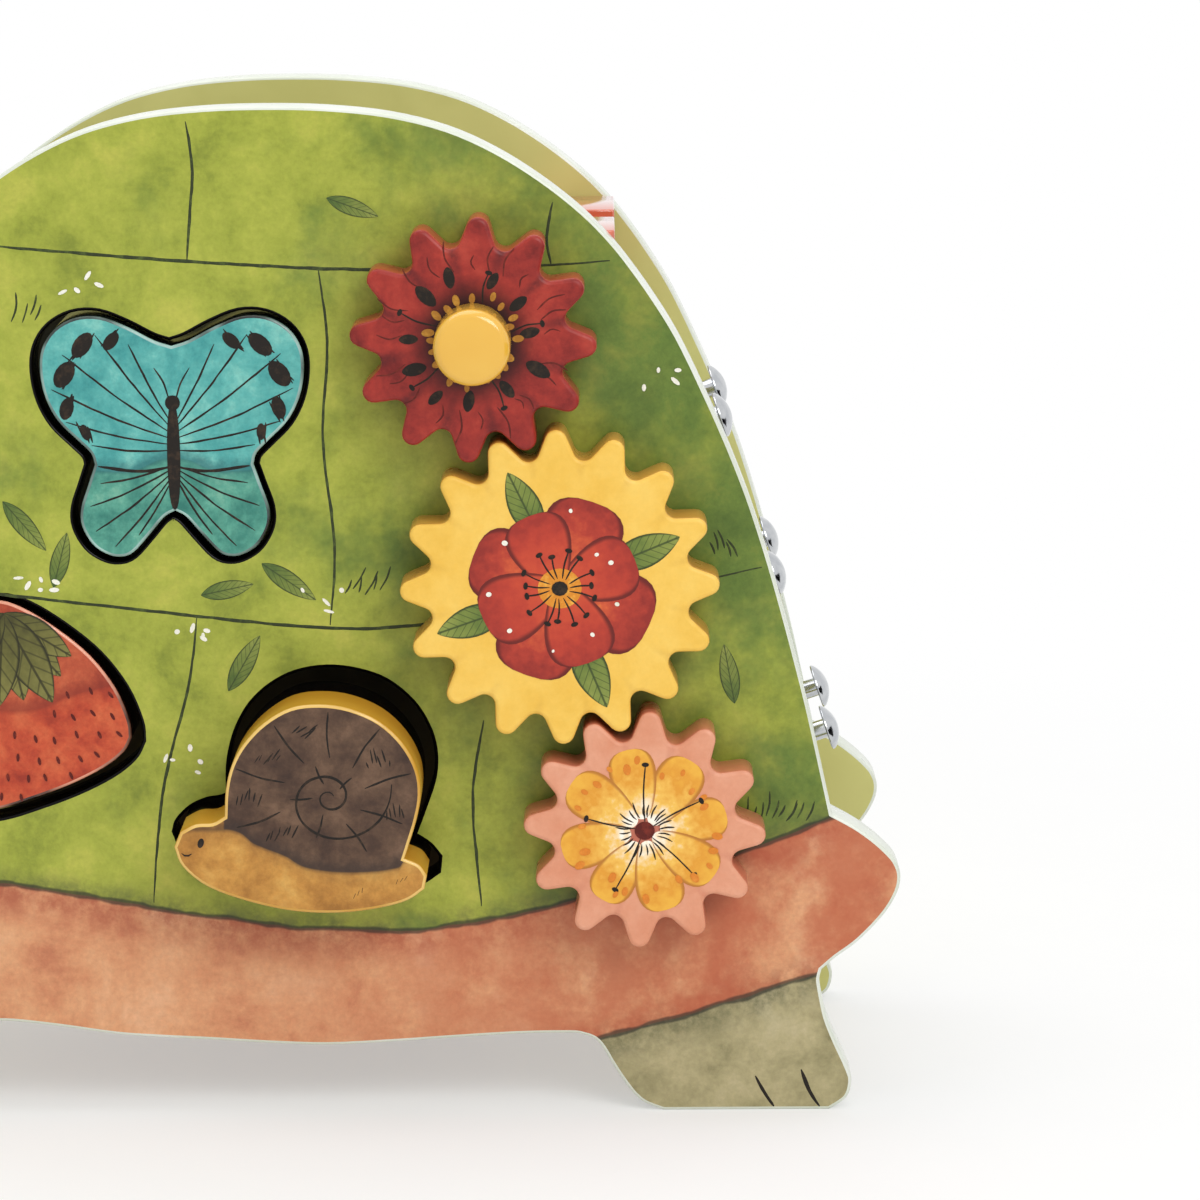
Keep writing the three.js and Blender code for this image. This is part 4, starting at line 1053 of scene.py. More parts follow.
# %% The three wheels
wheel_faces = {}
for colour, (teeth, first_tooth, paint_slot) in wheels.items():
    low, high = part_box(colour + "_gear")
    axle_low, axle_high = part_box(colour + "_axle")
    axle = (axle_low + axle_high) / 2
    pitch_radius = teeth * tooth_pitch / (2 * math.pi)
    wheel = grown(
        colour + "_wheel_body", wheel_tree, Teeth=teeth, Tip_Radius=pitch_radius + tooth_rise,
        Root_Radius=pitch_radius - tooth_depth, Tip_Round=tip_round, Root_Round=valley_round,
        First_Tooth=first_tooth, Thickness=high.y - low.y, Edge_Round=wheel_edge_round,
        Finish=wheel_sides[colour])
    wheel.data.transform(Matrix.Translation((axle.x, low.y, axle.z)))
    closed_mesh(wheel.data, wheel.name)
    face_print = wheel_print(
        colour + "_varnished_print_on_wheel", axle, wheel_bases[colour], teeth, first_tooth,
        (pitch_radius - tooth_depth) / MM, wheel_marks[colour], wheel_hearts[colour],
        1.0 if colour == "red" else 0.25)
    paint(wheel, [face_print, wheel_sides[colour]], lambda polygon: 0 if polygon.normal.y < -0.5 else 1)
    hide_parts(colour + "_gear")
    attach(wheel, colour + "_wheel")
    wheel_faces[colour] = ((axle.x, axle.z), low.y, colour + "_wheel")
    print(wheel.name, len(wheel.data.polygons), "faces, radius", round((high.x - low.x) / 2 / MM, 1), "mm")

# %% [markdown]
# ## The flowers on the wheels
# Each wheel is painted as a flower: a ring of dark spots on the red one, a broad poppy with leaves
# on the yellow one, and a golden flower with white streaks on the pink one. Petals and leaves are
# stamps set round the axle, and the pen adds stamens and creases.


# %% Marks set round an axle
def ring(count, start, radius, long, wide, wobble):
    """Marks round an axle, each pointing outwards, with hand-made differences."""
    marks = []
    for i in range(count):
        turn = start + 360 / count * i + sway() * wobble
        out = radius * (1 + sway() * wobble / 60)
        size = 1 + sway() * wobble / 30
        x, up = step_from((0, 0), out, math.radians(turn))
        marks.append((x, up, turn + sway() * wobble * 2, long * size, wide * size))
    return marks


def stamens(count, start, inner, outer, wobble=6):
    """Thin strokes that run outwards, and the places of the dots at their ends."""
    strokes, dots = [], []
    for i in range(count):
        turn = math.radians(start + 360 / count * i + sway() * wobble)
        reach = outer * random.uniform(0.86, 1.08)
        ends = [step_from((0, 0), r, turn + bend)
                for r, bend in ((inner, 0), ((inner + reach) / 2, 0.06), (reach, 0.02))]
        strokes.append((0.45, ends))
        dots.append((*ends[-1], math.degrees(turn) + 90, 0.95, 0.6))
    return strokes, dots


# %% The paint of the petals
# Petals run from a light base to a darker tip under the same thin varnish, as brushwork does.
poppy_red = brushed_mark("poppy_petal_brushwork", ["#e8a03c", "#cf5a34", "#b03a2a", "#8f2a22"],
                         "#5e1a16", "#8c2a20", **PETAL)
poppy_light = brushed_mark("front_petal_brushwork", ["#c8502f", "#c4472e", "#b53b2a", "#9c2f25"],
                           "#5e1a16", "#8c2a20", **PETAL)
golden = brushed_mark("golden_petal_brushwork", ["#fdf6e8", "#f0bf58", "#e09a32", "#eab040"],
                      "#b2702a", "#d98f2c", **PETAL)
ochre_heart = ink("ochre_heart", "#d98a2c", "#eab04a")
orange_flecks = ink("orange_flecks", "#d9812c", "#e39038")
ochre_ring = ink("ochre_ring", "#a8742c", "#c8963c")
print("petal paints ready")

# %% The poppy on the yellow wheel
on_wheel = wheel_faces["yellow"]
centre, face, body = on_wheel
stamps("poppy_leaves", ring(4, 22, 24, 9.5, 4.2, 2), *on_wheel, leaf_green, sides=32, **LEAF)
stamps("poppy_back_petals", ring(4, -23, 12.2, 11.6, 9.4, 2), *on_wheel, poppy_red, lift=0.06, sides=32,
       **PETAL)
stamps("poppy_front_petals", ring(4, 22, 10.2, 10.2, 7.9, 2), *on_wheel, poppy_light, lift=0.1, sides=32,
       **PETAL)
stamps("poppy_heart", [(0, 0, 0, 5.6, 5.2)], *on_wheel, ochre_heart, lift=0.15)
strokes, dots = stamens(15, 5, 2.6, 9.4)
pen("poppy_stamens", strokes, centre, face - 0.17 * MM, body, black_ink, shake=0.2)
stamps("poppy_dots", dots + [(0, 0, 0, 2.1, 1.9)], *on_wheel, black_ink, lift=0.2, sides=12)
stamps("poppy_white_dots", ring(9, 14, 16.5, 0.7, 0.6, 14), *on_wheel, white_dots, lift=0.16, sides=10)
print("poppy:", len(strokes), "stamens")

# %% The golden flower on the pink wheel
on_wheel = wheel_faces["pink"]
centre, face, body = on_wheel
stamps("golden_petals", ring(8, 12, 12.4, 9.4, 5.6, 2), *on_wheel, golden, sides=32, **PETAL)
strokes, dots = stamens(5, 20, 2, 16.5, 10)
creases, _ = stamens(24, 4, 3.6, 7.6, 4)
pen("golden_stamens", strokes + creases, centre, face - 0.09 * MM, body, black_ink, shake=0.2)
stamps("golden_dots", dots, *on_wheel, black_ink, lift=0.12, sides=12)
stamps("golden_flecks", ring(24, 3, 17, 1.2, 0.8, 8), *on_wheel, orange_flecks, lift=0.1, sides=10)
stamps("golden_heart", [(0, 0, 0, 2.6, 2.4)], *on_wheel, rust_ink, lift=0.14)
print("golden flower:", len(creases), "creases")

# %% The spotted flower on the red wheel
on_wheel = wheel_faces["red"]
centre, face, body = on_wheel
stamps("red_spots", ring(11, 8, 16.2, 2.9, 1.5, 7), *on_wheel, black_ink, sides=16, pointed=1.2)
strokes, dots = stamens(5, -140, 10, 20, 12)
creases, _ = stamens(24, 0, 18, 25, 5)
pen("red_creases", creases, *on_wheel, rust_ink, shake=0.3)
pen("red_stamens", strokes, centre, face - 0.02 * MM, body, black_ink, shake=0.3)
stamps("red_golden_ring", ring(20, 0, 11, 1.5, 0.9, 8), *on_wheel, ochre_ring, lift=0.1, sides=12)
stamps("red_dots", dots, *on_wheel, black_ink, lift=0.05, sides=12)
print("flowers painted on", len(wheel_faces), "wheels")

# %% [markdown]
# ## The turned knob
# The knob in the middle of the red wheel is a turned wooden dowel end with a gloss lacquer. Turned
# work is a profile swept round an axis. The profile has a small round at the foot and a full round
# at the rim, whose highlight tells the eye how soft the edge is.


# %% Turned pieces
def turned(name, profile, matrix, sides):
    """A closed solid of revolution from (radius, height) pairs. A radius of 0 closes an end."""
    work = bmesh.new()
    rings = []
    for radius, height in profile:
        count = sides if radius > 0 else 1
        angles = [2 * math.pi * step / count for step in range(count)]
        rings.append([work.verts.new((radius * math.cos(a), radius * math.sin(a), height)) for a in angles])
    for low, high in zip(rings, rings[1:]):
        for step in range(sides):
            corners = [low[step % len(low)], low[(step + 1) % len(low)],
                       high[(step + 1) % len(high)], high[step % len(high)]]
            work.faces.new(list(dict.fromkeys(corners)))
    mesh = bpy.data.meshes.new(name)
    work.to_mesh(mesh)
    work.free()
    mesh.transform(matrix)
    return link(bpy.data.objects.new(name, closed_mesh(mesh, name)))


def rounded(middle_radius, middle_height, round_radius, start, end, steps=8):
    """Points of a round in a profile, from one angle to another in degrees, 0 pointing outwards."""
    angles = [math.radians(start + (end - start) * step / steps) for step in range(steps + 1)]
    return [(middle_radius + round_radius * math.cos(a), middle_height + round_radius * math.sin(a))
            for a in angles]


knob_low, knob_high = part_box("turning_knob")
knob_middle = (knob_low + knob_high) / 2
knob_radius = (knob_high.x - knob_low.x) / 2
knob_height = knob_high.y - knob_low.y
foot_round, rim_round, crown = 0.6 * MM, 2.6 * MM, 0.3 * MM
knob_profile = [(0, 0)] + rounded(knob_radius - foot_round, foot_round, foot_round, -90, 0, 4)
knob_profile += rounded(knob_radius - rim_round, knob_height - rim_round - crown, rim_round, 0, 78)
knob_profile += [(knob_radius * 0.4, knob_height - 0.08 * MM), (0, knob_height)]
knob_place = Matrix.Translation((knob_middle.x, knob_high.y, knob_middle.z))
knob = turned("knob", knob_profile, knob_place @ Matrix.Rotation(math.pi / 2, 4, "X"), 64)
paint(knob, [yellow_lacquer])
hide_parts("turning_knob")
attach(knob, "red_wheel")
print("knob:", round(2 * knob_radius / MM, 1), "mm across")

# %% [markdown]
# ## The loose shapes
# Three sawn shapes sit in the cut-outs. Each is a thick board of its own, so it gets the same sawn
# and sanded build as the big boards.

# %% The ground of a shape's print
def shape_ground(name, middle, below, above, border, ends, shade):
    """Two washes under varnish that meet along a line between two ends, shaded where they meet."""
    material, node, shader = finish(name, Specular_IOR_Level=0.36)
    place = millimetres(node, (middle.x, 0, middle.y))
    split = node("ShaderNodeSeparateXYZ", place)
    along, up = split.outputs["X"], split.outputs["Z"]
    over = node("ShaderNodeMath", up, height_line(node, along, border), operation="SUBTRACT")
    inside = node("ShaderNodeMapRange", over, -0.25, 0.25, **SOFT_STEP)
    for end, side in zip(ends, (1, -1)):
        past = node("ShaderNodeMapRange", along, end - 0.25 * side, end + 0.25 * side, **SOFT_STEP)
        inside = node("ShaderNodeMath", inside, past, operation="MULTIPLY")
    colour = node("ShaderNodeMix", inside, watercolour(node, place, below, wash=11),
                  watercolour(node, place, above, wash=11), **COLOURS)
    smudge = node("ShaderNodeTexNoise", place, Scale=1 / 2.5, Detail=5.0, Roughness=0.7)
    near = node("ShaderNodeMath", node("ShaderNodeMath", smudge, -6, over, operation="MULTIPLY_ADD"), 3)
    near = node("ShaderNodeMath", near, operation="ABSOLUTE")
    pool = node("ShaderNodeMapRange", near, 4.5, 0, 0, 0.7, **SOFT_STEP)
    within = node("ShaderNodeMapRange", over, -1, 0, 0.3, 1)
    pool = node("ShaderNodeMath", pool, within, operation="MULTIPLY")
    fill(shader, Base_Color=node("ShaderNodeMix", pool, colour, shade, **COLOURS))
    varnish(node, shader, place, middle=0.32)
    return material


# %% The paints of the three shapes
shape_round = 0.8 * MM
# The paint's name, the side's colour, where it turns black in mm, and the painted highlight on the front edge
shape_paints = {
    # The near-black sides of the butterfly and the strawberry are painted shade, as little light gets into
    # their narrow gaps.
    "butterfly": ("teal_paint", "#0d1413", None, "#a8cfc8"),
    "strawberry": ("berry_paint", "#140806", None, "#e0987c"),
    "snail": ("mustard_paint", "#c8942f", -48, "#e8c06a"),
}
# The two washes, the line where they meet, how far along it holds in mm, and the shade on it
shape_grounds = {
    "butterfly": (["#2b7468", "#3d8576", "#579f8b", "#79b59d"], ["#388f8e", "#4ba19d", "#60b2ab", "#80c6ba"],
                  [(-24, -2.5), (-12, -6.5), (1.6, -3), (15, -6.5), (27, -2.5)], (-60, 60), "#1f5f63"),
    "strawberry": (["#9a2f1a", "#b64225", "#c65531", "#d2683e"], ["#7c2c1a", "#a03e25", "#b54f30", "#c4613c"],
                   [(-34, 12), (-12, 5), (4, 2), (18, 6), (34, 10)], (-60, 60), "#8a2c1a"),
    "snail": (["#9e6a28", "#b37c34", "#c58e40", "#d19f50"], ["#38241a", "#4b3426", "#5e4533", "#715541"],
              [(-34, -4.6), (-19.8, -4.6), (-12.8, -8.5), (-5.3, -11.6), (2.2, -15.2), (12.7, -16.1),
               (24, -14.9), (25.8, -13), (34, -12)], (-20.6, 60), "#2e211c"),
}
print("shapes:", list(shape_paints))

# %% The three shapes
faces = {}
for shape, (slot_name, side, sealed_from, rim) in shape_paints.items():
    low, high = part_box(shape + "_piece")
    piece = board(shape, [piece_lines[shape]], low.y, high.y, shape_round)
    ground = shape_ground(shape + "_varnished_print", middle_of(shape), *shape_grounds[shape])
    # On the butterfly and the strawberry this dark lacquer is painted shade.
    dark = lacquer(shape + "_lacquer_on_sawn_edge", side, side, 0.2, sealed_from=sealed_from,
                   specular=0.12)
    # The pale front edge is a painted highlight: light catching the sanded round.
    front_edge_highlight_paint = lacquer(shape + "_worn_front_edge", rim, side, 0.25, coat=0.3)
    paint(piece, [ground, dark, front_edge_highlight_paint],
          lambda polygon: 0 if polygon.normal.y < -FLAT else 2 if polygon.normal.y < -0.3 else 1)
    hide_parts(shape + "_piece")
    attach(piece, shape)
    faces[shape] = (middle_of(shape), low.y, shape)
    print(shape, len(piece.data.polygons), "faces")

# %% [markdown]
# ## The drawing on the loose shapes
# The butterfly gets a dark body, veins that fan out and a row of spots along its wings. The
# strawberry gets a fan of leaves and rows of seeds, the snail a wound shell with growth lines.

# %% The butterfly's body, veins and spots
middle, face, body = faces["butterfly"]
vein_ends = [(11, 26.5), (19.5, 29), (28, 24), (31, 15), (27.5, 6.5), (21, 0.5)]
low_vein_ends = [(19, -9.5), (21.8, -15.5), (20.6, -22), (15.6, -26), (9.5, -23)]
veins, spots = [], []
for side in (-1, 1):
    for root, apart, ends in ((7, 1.6, vein_ends), (-5, 1.1, low_vein_ends)):
        for i, (x, up) in enumerate(ends):
            start = (butterfly_axis + side, root - apart * i)
            bend = ((start[0] + butterfly_axis + side * x) / 2, (start[1] + up) / 2 - 0.8)
            veins.append((0.55, [start, bend, (butterfly_axis + side * x, up)]))
    for x, up, long, wide in ((15.4, 27.4, 2.8, 1.6), (22.8, 26.4, 3.8, 2.2), (27.6, 18.8, 3.8, 2.4),
                              (27.2, 10, 3, 1.8), (22.6, 3.8, 2.2, 1.2)):
        turn = math.degrees(math.atan2(up - 10, side * x)) + 90 + sway(20)
        spots.append((butterfly_axis + side * x, up, turn, long, wide))
        for i in range(3):
            at = (butterfly_axis + side * x + sway(1.5), up + sway(1.2))
            lean = math.radians(turn + sway(12))
            veins.append((0.6, [step_from(at, r, lean) for r in (-long, 0, long)]))
    feeler, fold = [(0.8, 12), (2.2, 16.5), (4.6, 20.5)], [(1.2, -5.4), (9, -6.4), (19.5, -5)]
    for width, line in ((0.5, feeler), (0.9, fold)):
        veins.append((width, [(butterfly_axis + side * x, up) for x, up in line]))
pen("butterfly_veins", veins, middle, face, body, black_ink, shake=0.4)
stamps("butterfly_spots", spots, middle, face, body, black_ink, pointed=1.1, sides=16)
trunk = [(butterfly_axis, -2.5, 90, 14, 1.7), (butterfly_axis, 11.4, 90, 1.9, 1.9)]
stamps("butterfly_body", trunk, middle, face, body, black_ink, lift=0.08, pointed=0.8)
print("butterfly:", len(veins), "strokes")

# %% The strawberry's leaves and seeds
middle, face, body = faces["strawberry"]
fan_x, fan_up, half_leaf = 1, 27.5, 12.5
fan = []
for turn, size in ((-150, 0.8), (-48, 0.9), (-78, 0.95), (-110, 0.85), (-32, 0.85), (-62, 1.08), (-94, 1),
                   (-128, 0.9)):
    leaf_at = step_from((fan_x, fan_up), half_leaf * size * 0.95, math.radians(turn))
    fan.append((*leaf_at, turn, half_leaf * size, 5 * size))
seeds = []
for up, start, end in ((7, 18, 28), (2, -28, -14), (1, 14, 29), (-5, -29, 30), (-10.5, -29, 25),
                       (-16, -27, 17), (-21, -22, 5)):
    count = max(round((end - start) / 5.5), 1)
    for i in range(count + 1):
        x = start + (end - start) * i / count + sway(0.8)
        seeds.append((x, up + sway(0.9), 90 + x * 1.2 + sway(12), 1.1, 0.42))
berry_leaf = brushed_mark("dusky_leaf_brushwork", ["#45431f", "#64622f", "#7f7b40"], "#23220f", "#2c2a12",
                          ribs=3.0, **LEAF)
stamps("strawberry_seeds", seeds, middle, face, body, rust_ink, sides=12)
stamps("strawberry_leaves", fan, middle, face, body, berry_leaf, lift=0.04, sides=32, **LEAF)
print("strawberry:", len(fan), "leaves,", len(seeds), "seeds")

# %% The snail's wound shell, eye and mouth
middle, face, body = faces["snail"]
coil_middle = coil_x, coil_up = 6.5, 3.5
first_radius, growth, coil_end, coil_points = 1.3, 0.205, 12.4, 46
coil = []
for i in range(coil_points):
    turn = coil_end * i / (coil_points - 1)
    out = first_radius * math.exp(growth * turn)
    coil.append((coil_x + out * math.cos(turn + 0.4), coil_up + out * 0.92 * math.sin(turn + 0.4)))
strokes = [(0.7, coil)]
growth_lines = (
    (15, 9.5, 22), (52, 10, 22.5), (88, 10.5, 22.5), (124, 11, 23.5), (160, 12, 25), (196, 13, 25),
    (-22, 8.5, 20), (-58, 8, 17), (40, 3.6, 8), (110, 3.9, 9), (180, 4.2, 10), (250, 4.6, 11),
)
for turn, start, end in growth_lines:
    way = math.radians(turn)
    strokes.append((0.55, [step_from(coil_middle, r, way + bend)
                           for r, bend in ((start, 0), ((start + end) / 2, 0.05), (end, 0.03))]))
for x, up, lean, count in ((-9, 13, 60, 6), (-14, 2, 80, 6), (0, 20, 40, 5), (20, 12, 100, 6),
                           (-6, -7, 70, 7), (24, -2, 95, 5), (25, -19, 60, 3), (14, -22.5, 70, 3)):
    for i in range(count):
        way = math.radians(lean + sway(12))
        tall = random.uniform(1.6, 4.2) if up > -10 else 1.4
        at = (x + (i - count / 2) * 1.1, up + sway())
        strokes.append((0.45, [step_from(at, r, way) for r in (0, tall / 2, tall)]))
strokes.append((0.5, [(-31.6, -10.8), (-30.4, -11.6), (-29, -11)]))
pen("snail_lines", strokes, middle, face, body, black_ink, shake=0.3)
stamps("snail_eye", [(-26.6, -8.2, 75, 1.3, 0.8)], middle, face, body, black_ink, sides=16)
print("snail:", len(strokes), "strokes")

# %% [markdown]
# ## Chrome pins
# Six round-headed pins hold the chime bars: three rows down the tail slope, two in each row. One
# turned pin is enough. Geometry Nodes set it on a small grid of points that lies on the slope.


# %% Chrome, and where the pins stand
def chrome(name):
    """Nickel-chrome plate on steel: a mirror with faint wear, so that its reflections stay alive."""
    material, node, shader = finish(name, Metallic=1.0)
    place = millimetres(node)
    wear = node("ShaderNodeTexNoise", place, Scale=1 / 2.5, Detail=4.0)
    worn = node("ShaderNodeMapRange", wear, 0.35, 0.65)
    tone = node("ShaderNodeMix", worn, "#c9cbcd", "#b9bcc0", **COLOURS)
    fill(shader, Base_Color=tone, Roughness=node("ShaderNodeMapRange", wear, 0.35, 0.65, 0.07, 0.154))
    return material


def span(node_name, direction):
    """How far a solid reaches along a direction, from and to, in metres."""
    reach = [v.co.dot(direction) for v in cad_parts[node_name].data.vertices]
    return min(reach), max(reach)


slope_from_upright = 18.6
tail_lean = math.radians(90 - slope_from_upright)
out_of_slope = Vector((math.sin(tail_lean), 0, math.cos(tail_lean)))
down_slope = Vector((math.cos(tail_lean), 0, -math.sin(tail_lean)))
pins = [f"chime_pin_{row}_{side}" for row in (1, 2, 3) for side in (1, 2)]
pin_low, pin_top = span(pins[0], out_of_slope)
across = Vector((0, 1, 0))
first_down, last_down = (sum(span(pin, down_slope)) / 2 for pin in (pins[0], pins[-1]))
first_across, last_across = (sum(span(pin, across)) / 2 for pin in (pins[0], pins[-1]))
side_low, side_high = span(pins[0], across)
head_radius = (side_high - side_low) / 2
pin_length = pin_top - pin_low
print("pin heads:", round(2 * head_radius / MM, 1), "mm across")

# %% One pin, turned
head_height, head_round, stem_radius, stem_edge = 3.4 * MM, 0.35 * MM, 2.55 * MM, 0.3 * MM
dome_inset, dome_height, dome_steps = 0.2 * MM, 2.7 * MM, 10
under_head = pin_length - head_height
dome_radius = (head_radius**2 + dome_height**2) / (2 * dome_height)
pin_profile = [(0, 0), (stem_radius - stem_edge, 0), (stem_radius, stem_edge), (stem_radius, under_head)]
pin_profile += rounded(head_radius - head_round, under_head + head_round, head_round, -90, 35, 5)
for step in range(1, dome_steps + 1):
    radius = (head_radius - dome_inset) * math.cos(step / dome_steps * math.pi / 2)
    radius = 0 if step == dome_steps else radius
    pin_profile.append((radius, pin_length - dome_radius + math.sqrt(dome_radius**2 - radius**2)))
one_pin = turned("one_pin", pin_profile, Matrix.Identity(4), 40)
print("one pin:", len(one_pin.data.polygons), "faces")

# %% Six pins on the slope
pin_tree, node, given = new_tree(
    "pins_on_the_slope", Rows="Int", Down="Float", Across="Float", Finish="Material")
grid = node("GeometryNodeMeshGrid", given["Down"], given["Across"], given["Rows"], 2)
spots = node("GeometryNodeMeshToPoints", grid)
set_pins = node("GeometryNodeInstanceOnPoints", spots, Instance=given["Geometry"])
real = node("GeometryNodeRealizeInstances", set_pins)
node("NodeGroupOutput", node("GeometryNodeSetMaterial", real, True, given["Finish"]))
chrome_plate = chrome("chrome_plate_on_steel_pin")
pin_set = grown("chime_pins", pin_tree, one_pin.data, Rows=3, Down=last_down - first_down,
                Across=last_across - first_across, Finish=chrome_plate)
bpy.data.objects.remove(one_pin)
pin_middle = (down_slope * (first_down + last_down) / 2 + Vector((0, (first_across + last_across) / 2, 0))
              + out_of_slope * pin_low)
pin_set.data.transform(Matrix.Translation(pin_middle) @ Matrix.Rotation(tail_lean, 4, "Y"))
closed_mesh(pin_set.data, "chime_pins")
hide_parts(*pins)
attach(pin_set, "frame")
print("pins:", len(pin_set.data.polygons), "faces")

# %% [markdown]
# ## The rest on the shoulder
# The coral block across the shoulder is a planed stick with a notch. A copy of the solid with its
# seams joined gets a small bevel, as sanding gives it, and the gloss coral lacquer.


# %% Sanded copies of blocks
def sanded(name, node_name, width, material, body):
    """A copy of a solid whose edges are rounded, in a material."""
    work = bmesh.new()
    work.from_mesh(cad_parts[node_name].data)
    bmesh.ops.remove_doubles(work, verts=work.verts, dist=0.001 * MM)
    bmesh.ops.dissolve_limit(work, angle_limit=math.radians(1), verts=work.verts, edges=work.edges)
    mesh = bpy.data.meshes.new(name)
    work.to_mesh(mesh)
    work.free()
    piece = link(bpy.data.objects.new(name, mesh))
    bevel = piece.modifiers.new("sanded_edges", "BEVEL")
    bevel.width = width
    bevel.segments = 3
    bevel.limit_method = "ANGLE"
    bevel.angle_limit = math.radians(35)
    view = bpy.context.evaluated_depsgraph_get()
    piece.data = bpy.data.meshes.new_from_object(piece.evaluated_get(view))
    piece.modifiers.clear()
    closed_mesh(piece.data, name)
    paint(piece, [material])
    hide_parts(node_name)
    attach(piece, body)
    return piece


rest = sanded("shoulder_rest", "beater_rest", 0.5 * MM, coral_lacquer, "frame")
print("rest:", len(rest.data.polygons), "faces")

# %% [markdown]
# ## Bare wood, steel and felt inside
# What holds the toy together is bare beech: pale pinkish brown, with a fine straight grain and many
# short dark flecks. The chime bars are brushed steel, and they lie on wool felt.


# %% Bare beech
def beech(name, lengthways):
    """Bare beech, matt, its grain along an axis (0, 1 or 2): the flecks tell it from painted wood."""
    material, node, shader = finish(name, Roughness=0.55)
    stretch = [0.12 if axis == lengthways else 1 for axis in range(3)]
    place = millimetres(node, (0, 0, 0), stretch)
    rings = node("ShaderNodeTexNoise", place, Scale=1 / 2.5, Detail=4.0, Roughness=0.6, Distortion=0.3)
    late = node("ShaderNodeMapRange", rings, 0.35, 0.65)
    tone = node("ShaderNodeMix", late, "#d9b48a", "#c99f74", **COLOURS)
    rays = node("ShaderNodeTexVoronoi", place, Scale=1 / 0.8)
    fleck = node("ShaderNodeMapRange", rays, 0.22, 0.1, 0, 0.45)
    tone = node("ShaderNodeMix", fleck, tone, "#9c6f48", **COLOURS)
    relief = node("ShaderNodeBump", Height=rings, Strength=0.12, Distance=0.2 * MM)
    fill(shader, Base_Color=tone, Normal=relief)
    return material


beech_along = beech("planed_beech_grain_along_the_toy", 0)
beech_across = beech("planed_beech_grain_across_the_toy", 1)
beech_up = beech("planed_beech_grain_down_the_slope", 2)
wood_of = {"hollow_floor": beech_along, "chime_deck": beech_up, "neck_block": beech_across}
for node_name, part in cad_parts.items():
    round_wood = any(word in node_name for word in ("axle", "dowel", "collar", "spacer"))
    if node_name in wood_of or round_wood:
        part.data.materials[0] = wood_of.get(node_name, beech_across)
bare = [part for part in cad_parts.values() if "beech" in part.data.materials[0].name]
print("bare wood on", len(bare), "solids")


# %% Brushed steel bars on wool felt
def brushed_steel(name, lengthways):
    """Steel brushed along one axis: a soft, drawn-out shine. Its lines are drawn coarser than grit."""
    material, node, shader = finish(name, Metallic=1.0)
    place = millimetres(node, (0, 0, 0), [0.02 if axis == lengthways else 1 for axis in range(3)])
    lines = node("ShaderNodeTexNoise", place, Scale=1 / 0.7, Detail=2.0)
    scratched = node("ShaderNodeMapRange", lines, 0.3, 0.7)
    tone = node("ShaderNodeMix", scratched, "#c6c9cb", "#bcbfc2", **COLOURS)
    gloss = node("ShaderNodeMapRange", lines, 0.3, 0.7, 0.32, 0.36)
    relief = node("ShaderNodeBump", Height=lines, Strength=0.01, Distance=0.05 * MM)
    fill(shader, Base_Color=tone, Roughness=gloss, Normal=relief)
    return material


def wool_felt(name, colour, fibre):
    """Pressed wool felt: matt and soft, a tangle of fibres drawn 0.5 mm thick so that it shows."""
    material, node, shader = finish(name, Roughness=0.95, Sheen_Weight=0.3, Specular_IOR_Level=0.1)
    place = millimetres(node)
    tangle = node("ShaderNodeTexNoise", place, Scale=1 / 0.5, Detail=5.0, Roughness=0.75, Distortion=1.2)
    loose = node("ShaderNodeMapRange", tangle, 0.3, 0.7)
    tone = node("ShaderNodeMix", loose, colour, fibre, **COLOURS)
    fill(shader, Base_Color=tone,
         Normal=node("ShaderNodeBump", Height=tangle, Strength=0.7, Distance=0.4 * MM))
    return material


bar_steel = brushed_steel("brushed_steel_chime_bar", 1)
felt = wool_felt("moss_wool_felt", "#4a5546", "#66725f")
for node_name in [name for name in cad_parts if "chime_bar" in name]:
    sanded(node_name.replace("chime_", "steel_"), node_name, 0.4 * MM, bar_steel, "frame")
for node_name in [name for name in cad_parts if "felt_strip" in name]:
    sanded(node_name.replace("felt_", "wool_"), node_name, 0.7 * MM, felt, "frame")
print("bars and felt dressed")

# %% [markdown]
# ## Floor, light and camera
# A white floor under plain soft studio light. The world is seen as plain white by the camera and
# in reflections, and lights the toy evenly. One large lamp from the front right gives the shapes
# their soft shade.

# %% The floor
floor = link(bpy.data.objects.new("floor", bpy.data.meshes.new("floor")))
half_floor = 9
floor.data.from_pydata([(x * half_floor, y * half_floor, 0) for x, y in ((-1, -1), (1, -1), (1, 1), (-1, 1))],
                       [], [(0, 1, 2, 3)])
# Matt white paper: it takes the toy's soft shadow and has no shine of its own.
floor_material, node, shader = finish("matt_white_paper", Roughness=0.9, Specular_IOR_Level=0.1)
place = millimetres(node)
fibres = node("ShaderNodeTexNoise", place, Scale=1 / 40, Detail=2.0)
fill(shader, Base_Color=node("ShaderNodeMix", fibres, "#f4f4f3", "#f7f7f6", **COLOURS))
ray = node("ShaderNodeLightPath")
seen = node("ShaderNodeMath", ray.outputs["Is Camera Ray"], ray.outputs["Is Glossy Ray"])
seen = node("ShaderNodeMath", seen, ray.outputs["Is Transmission Ray"], use_clamp=True)
from_toy = node("ShaderNodeVectorMath", place, operation="LENGTH").outputs["Value"]
shade_ends, all_white, least_white = 260, 620, 0.42
far = node("ShaderNodeMapRange", from_toy, shade_ends, all_white, least_white, 1, **SOFT_STEP)
backdrop = node("ShaderNodeMath", far, seen, operation="MULTIPLY")
surface = node("ShaderNodeMixShader", backdrop, shader, node("ShaderNodeEmission", "#ffffff", 1.0))
node("ShaderNodeOutputMaterial", surface, is_active_output=True)
floor.data.materials.append(floor_material)
floor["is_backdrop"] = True
print("floor:", 2 * half_floor, "m across")

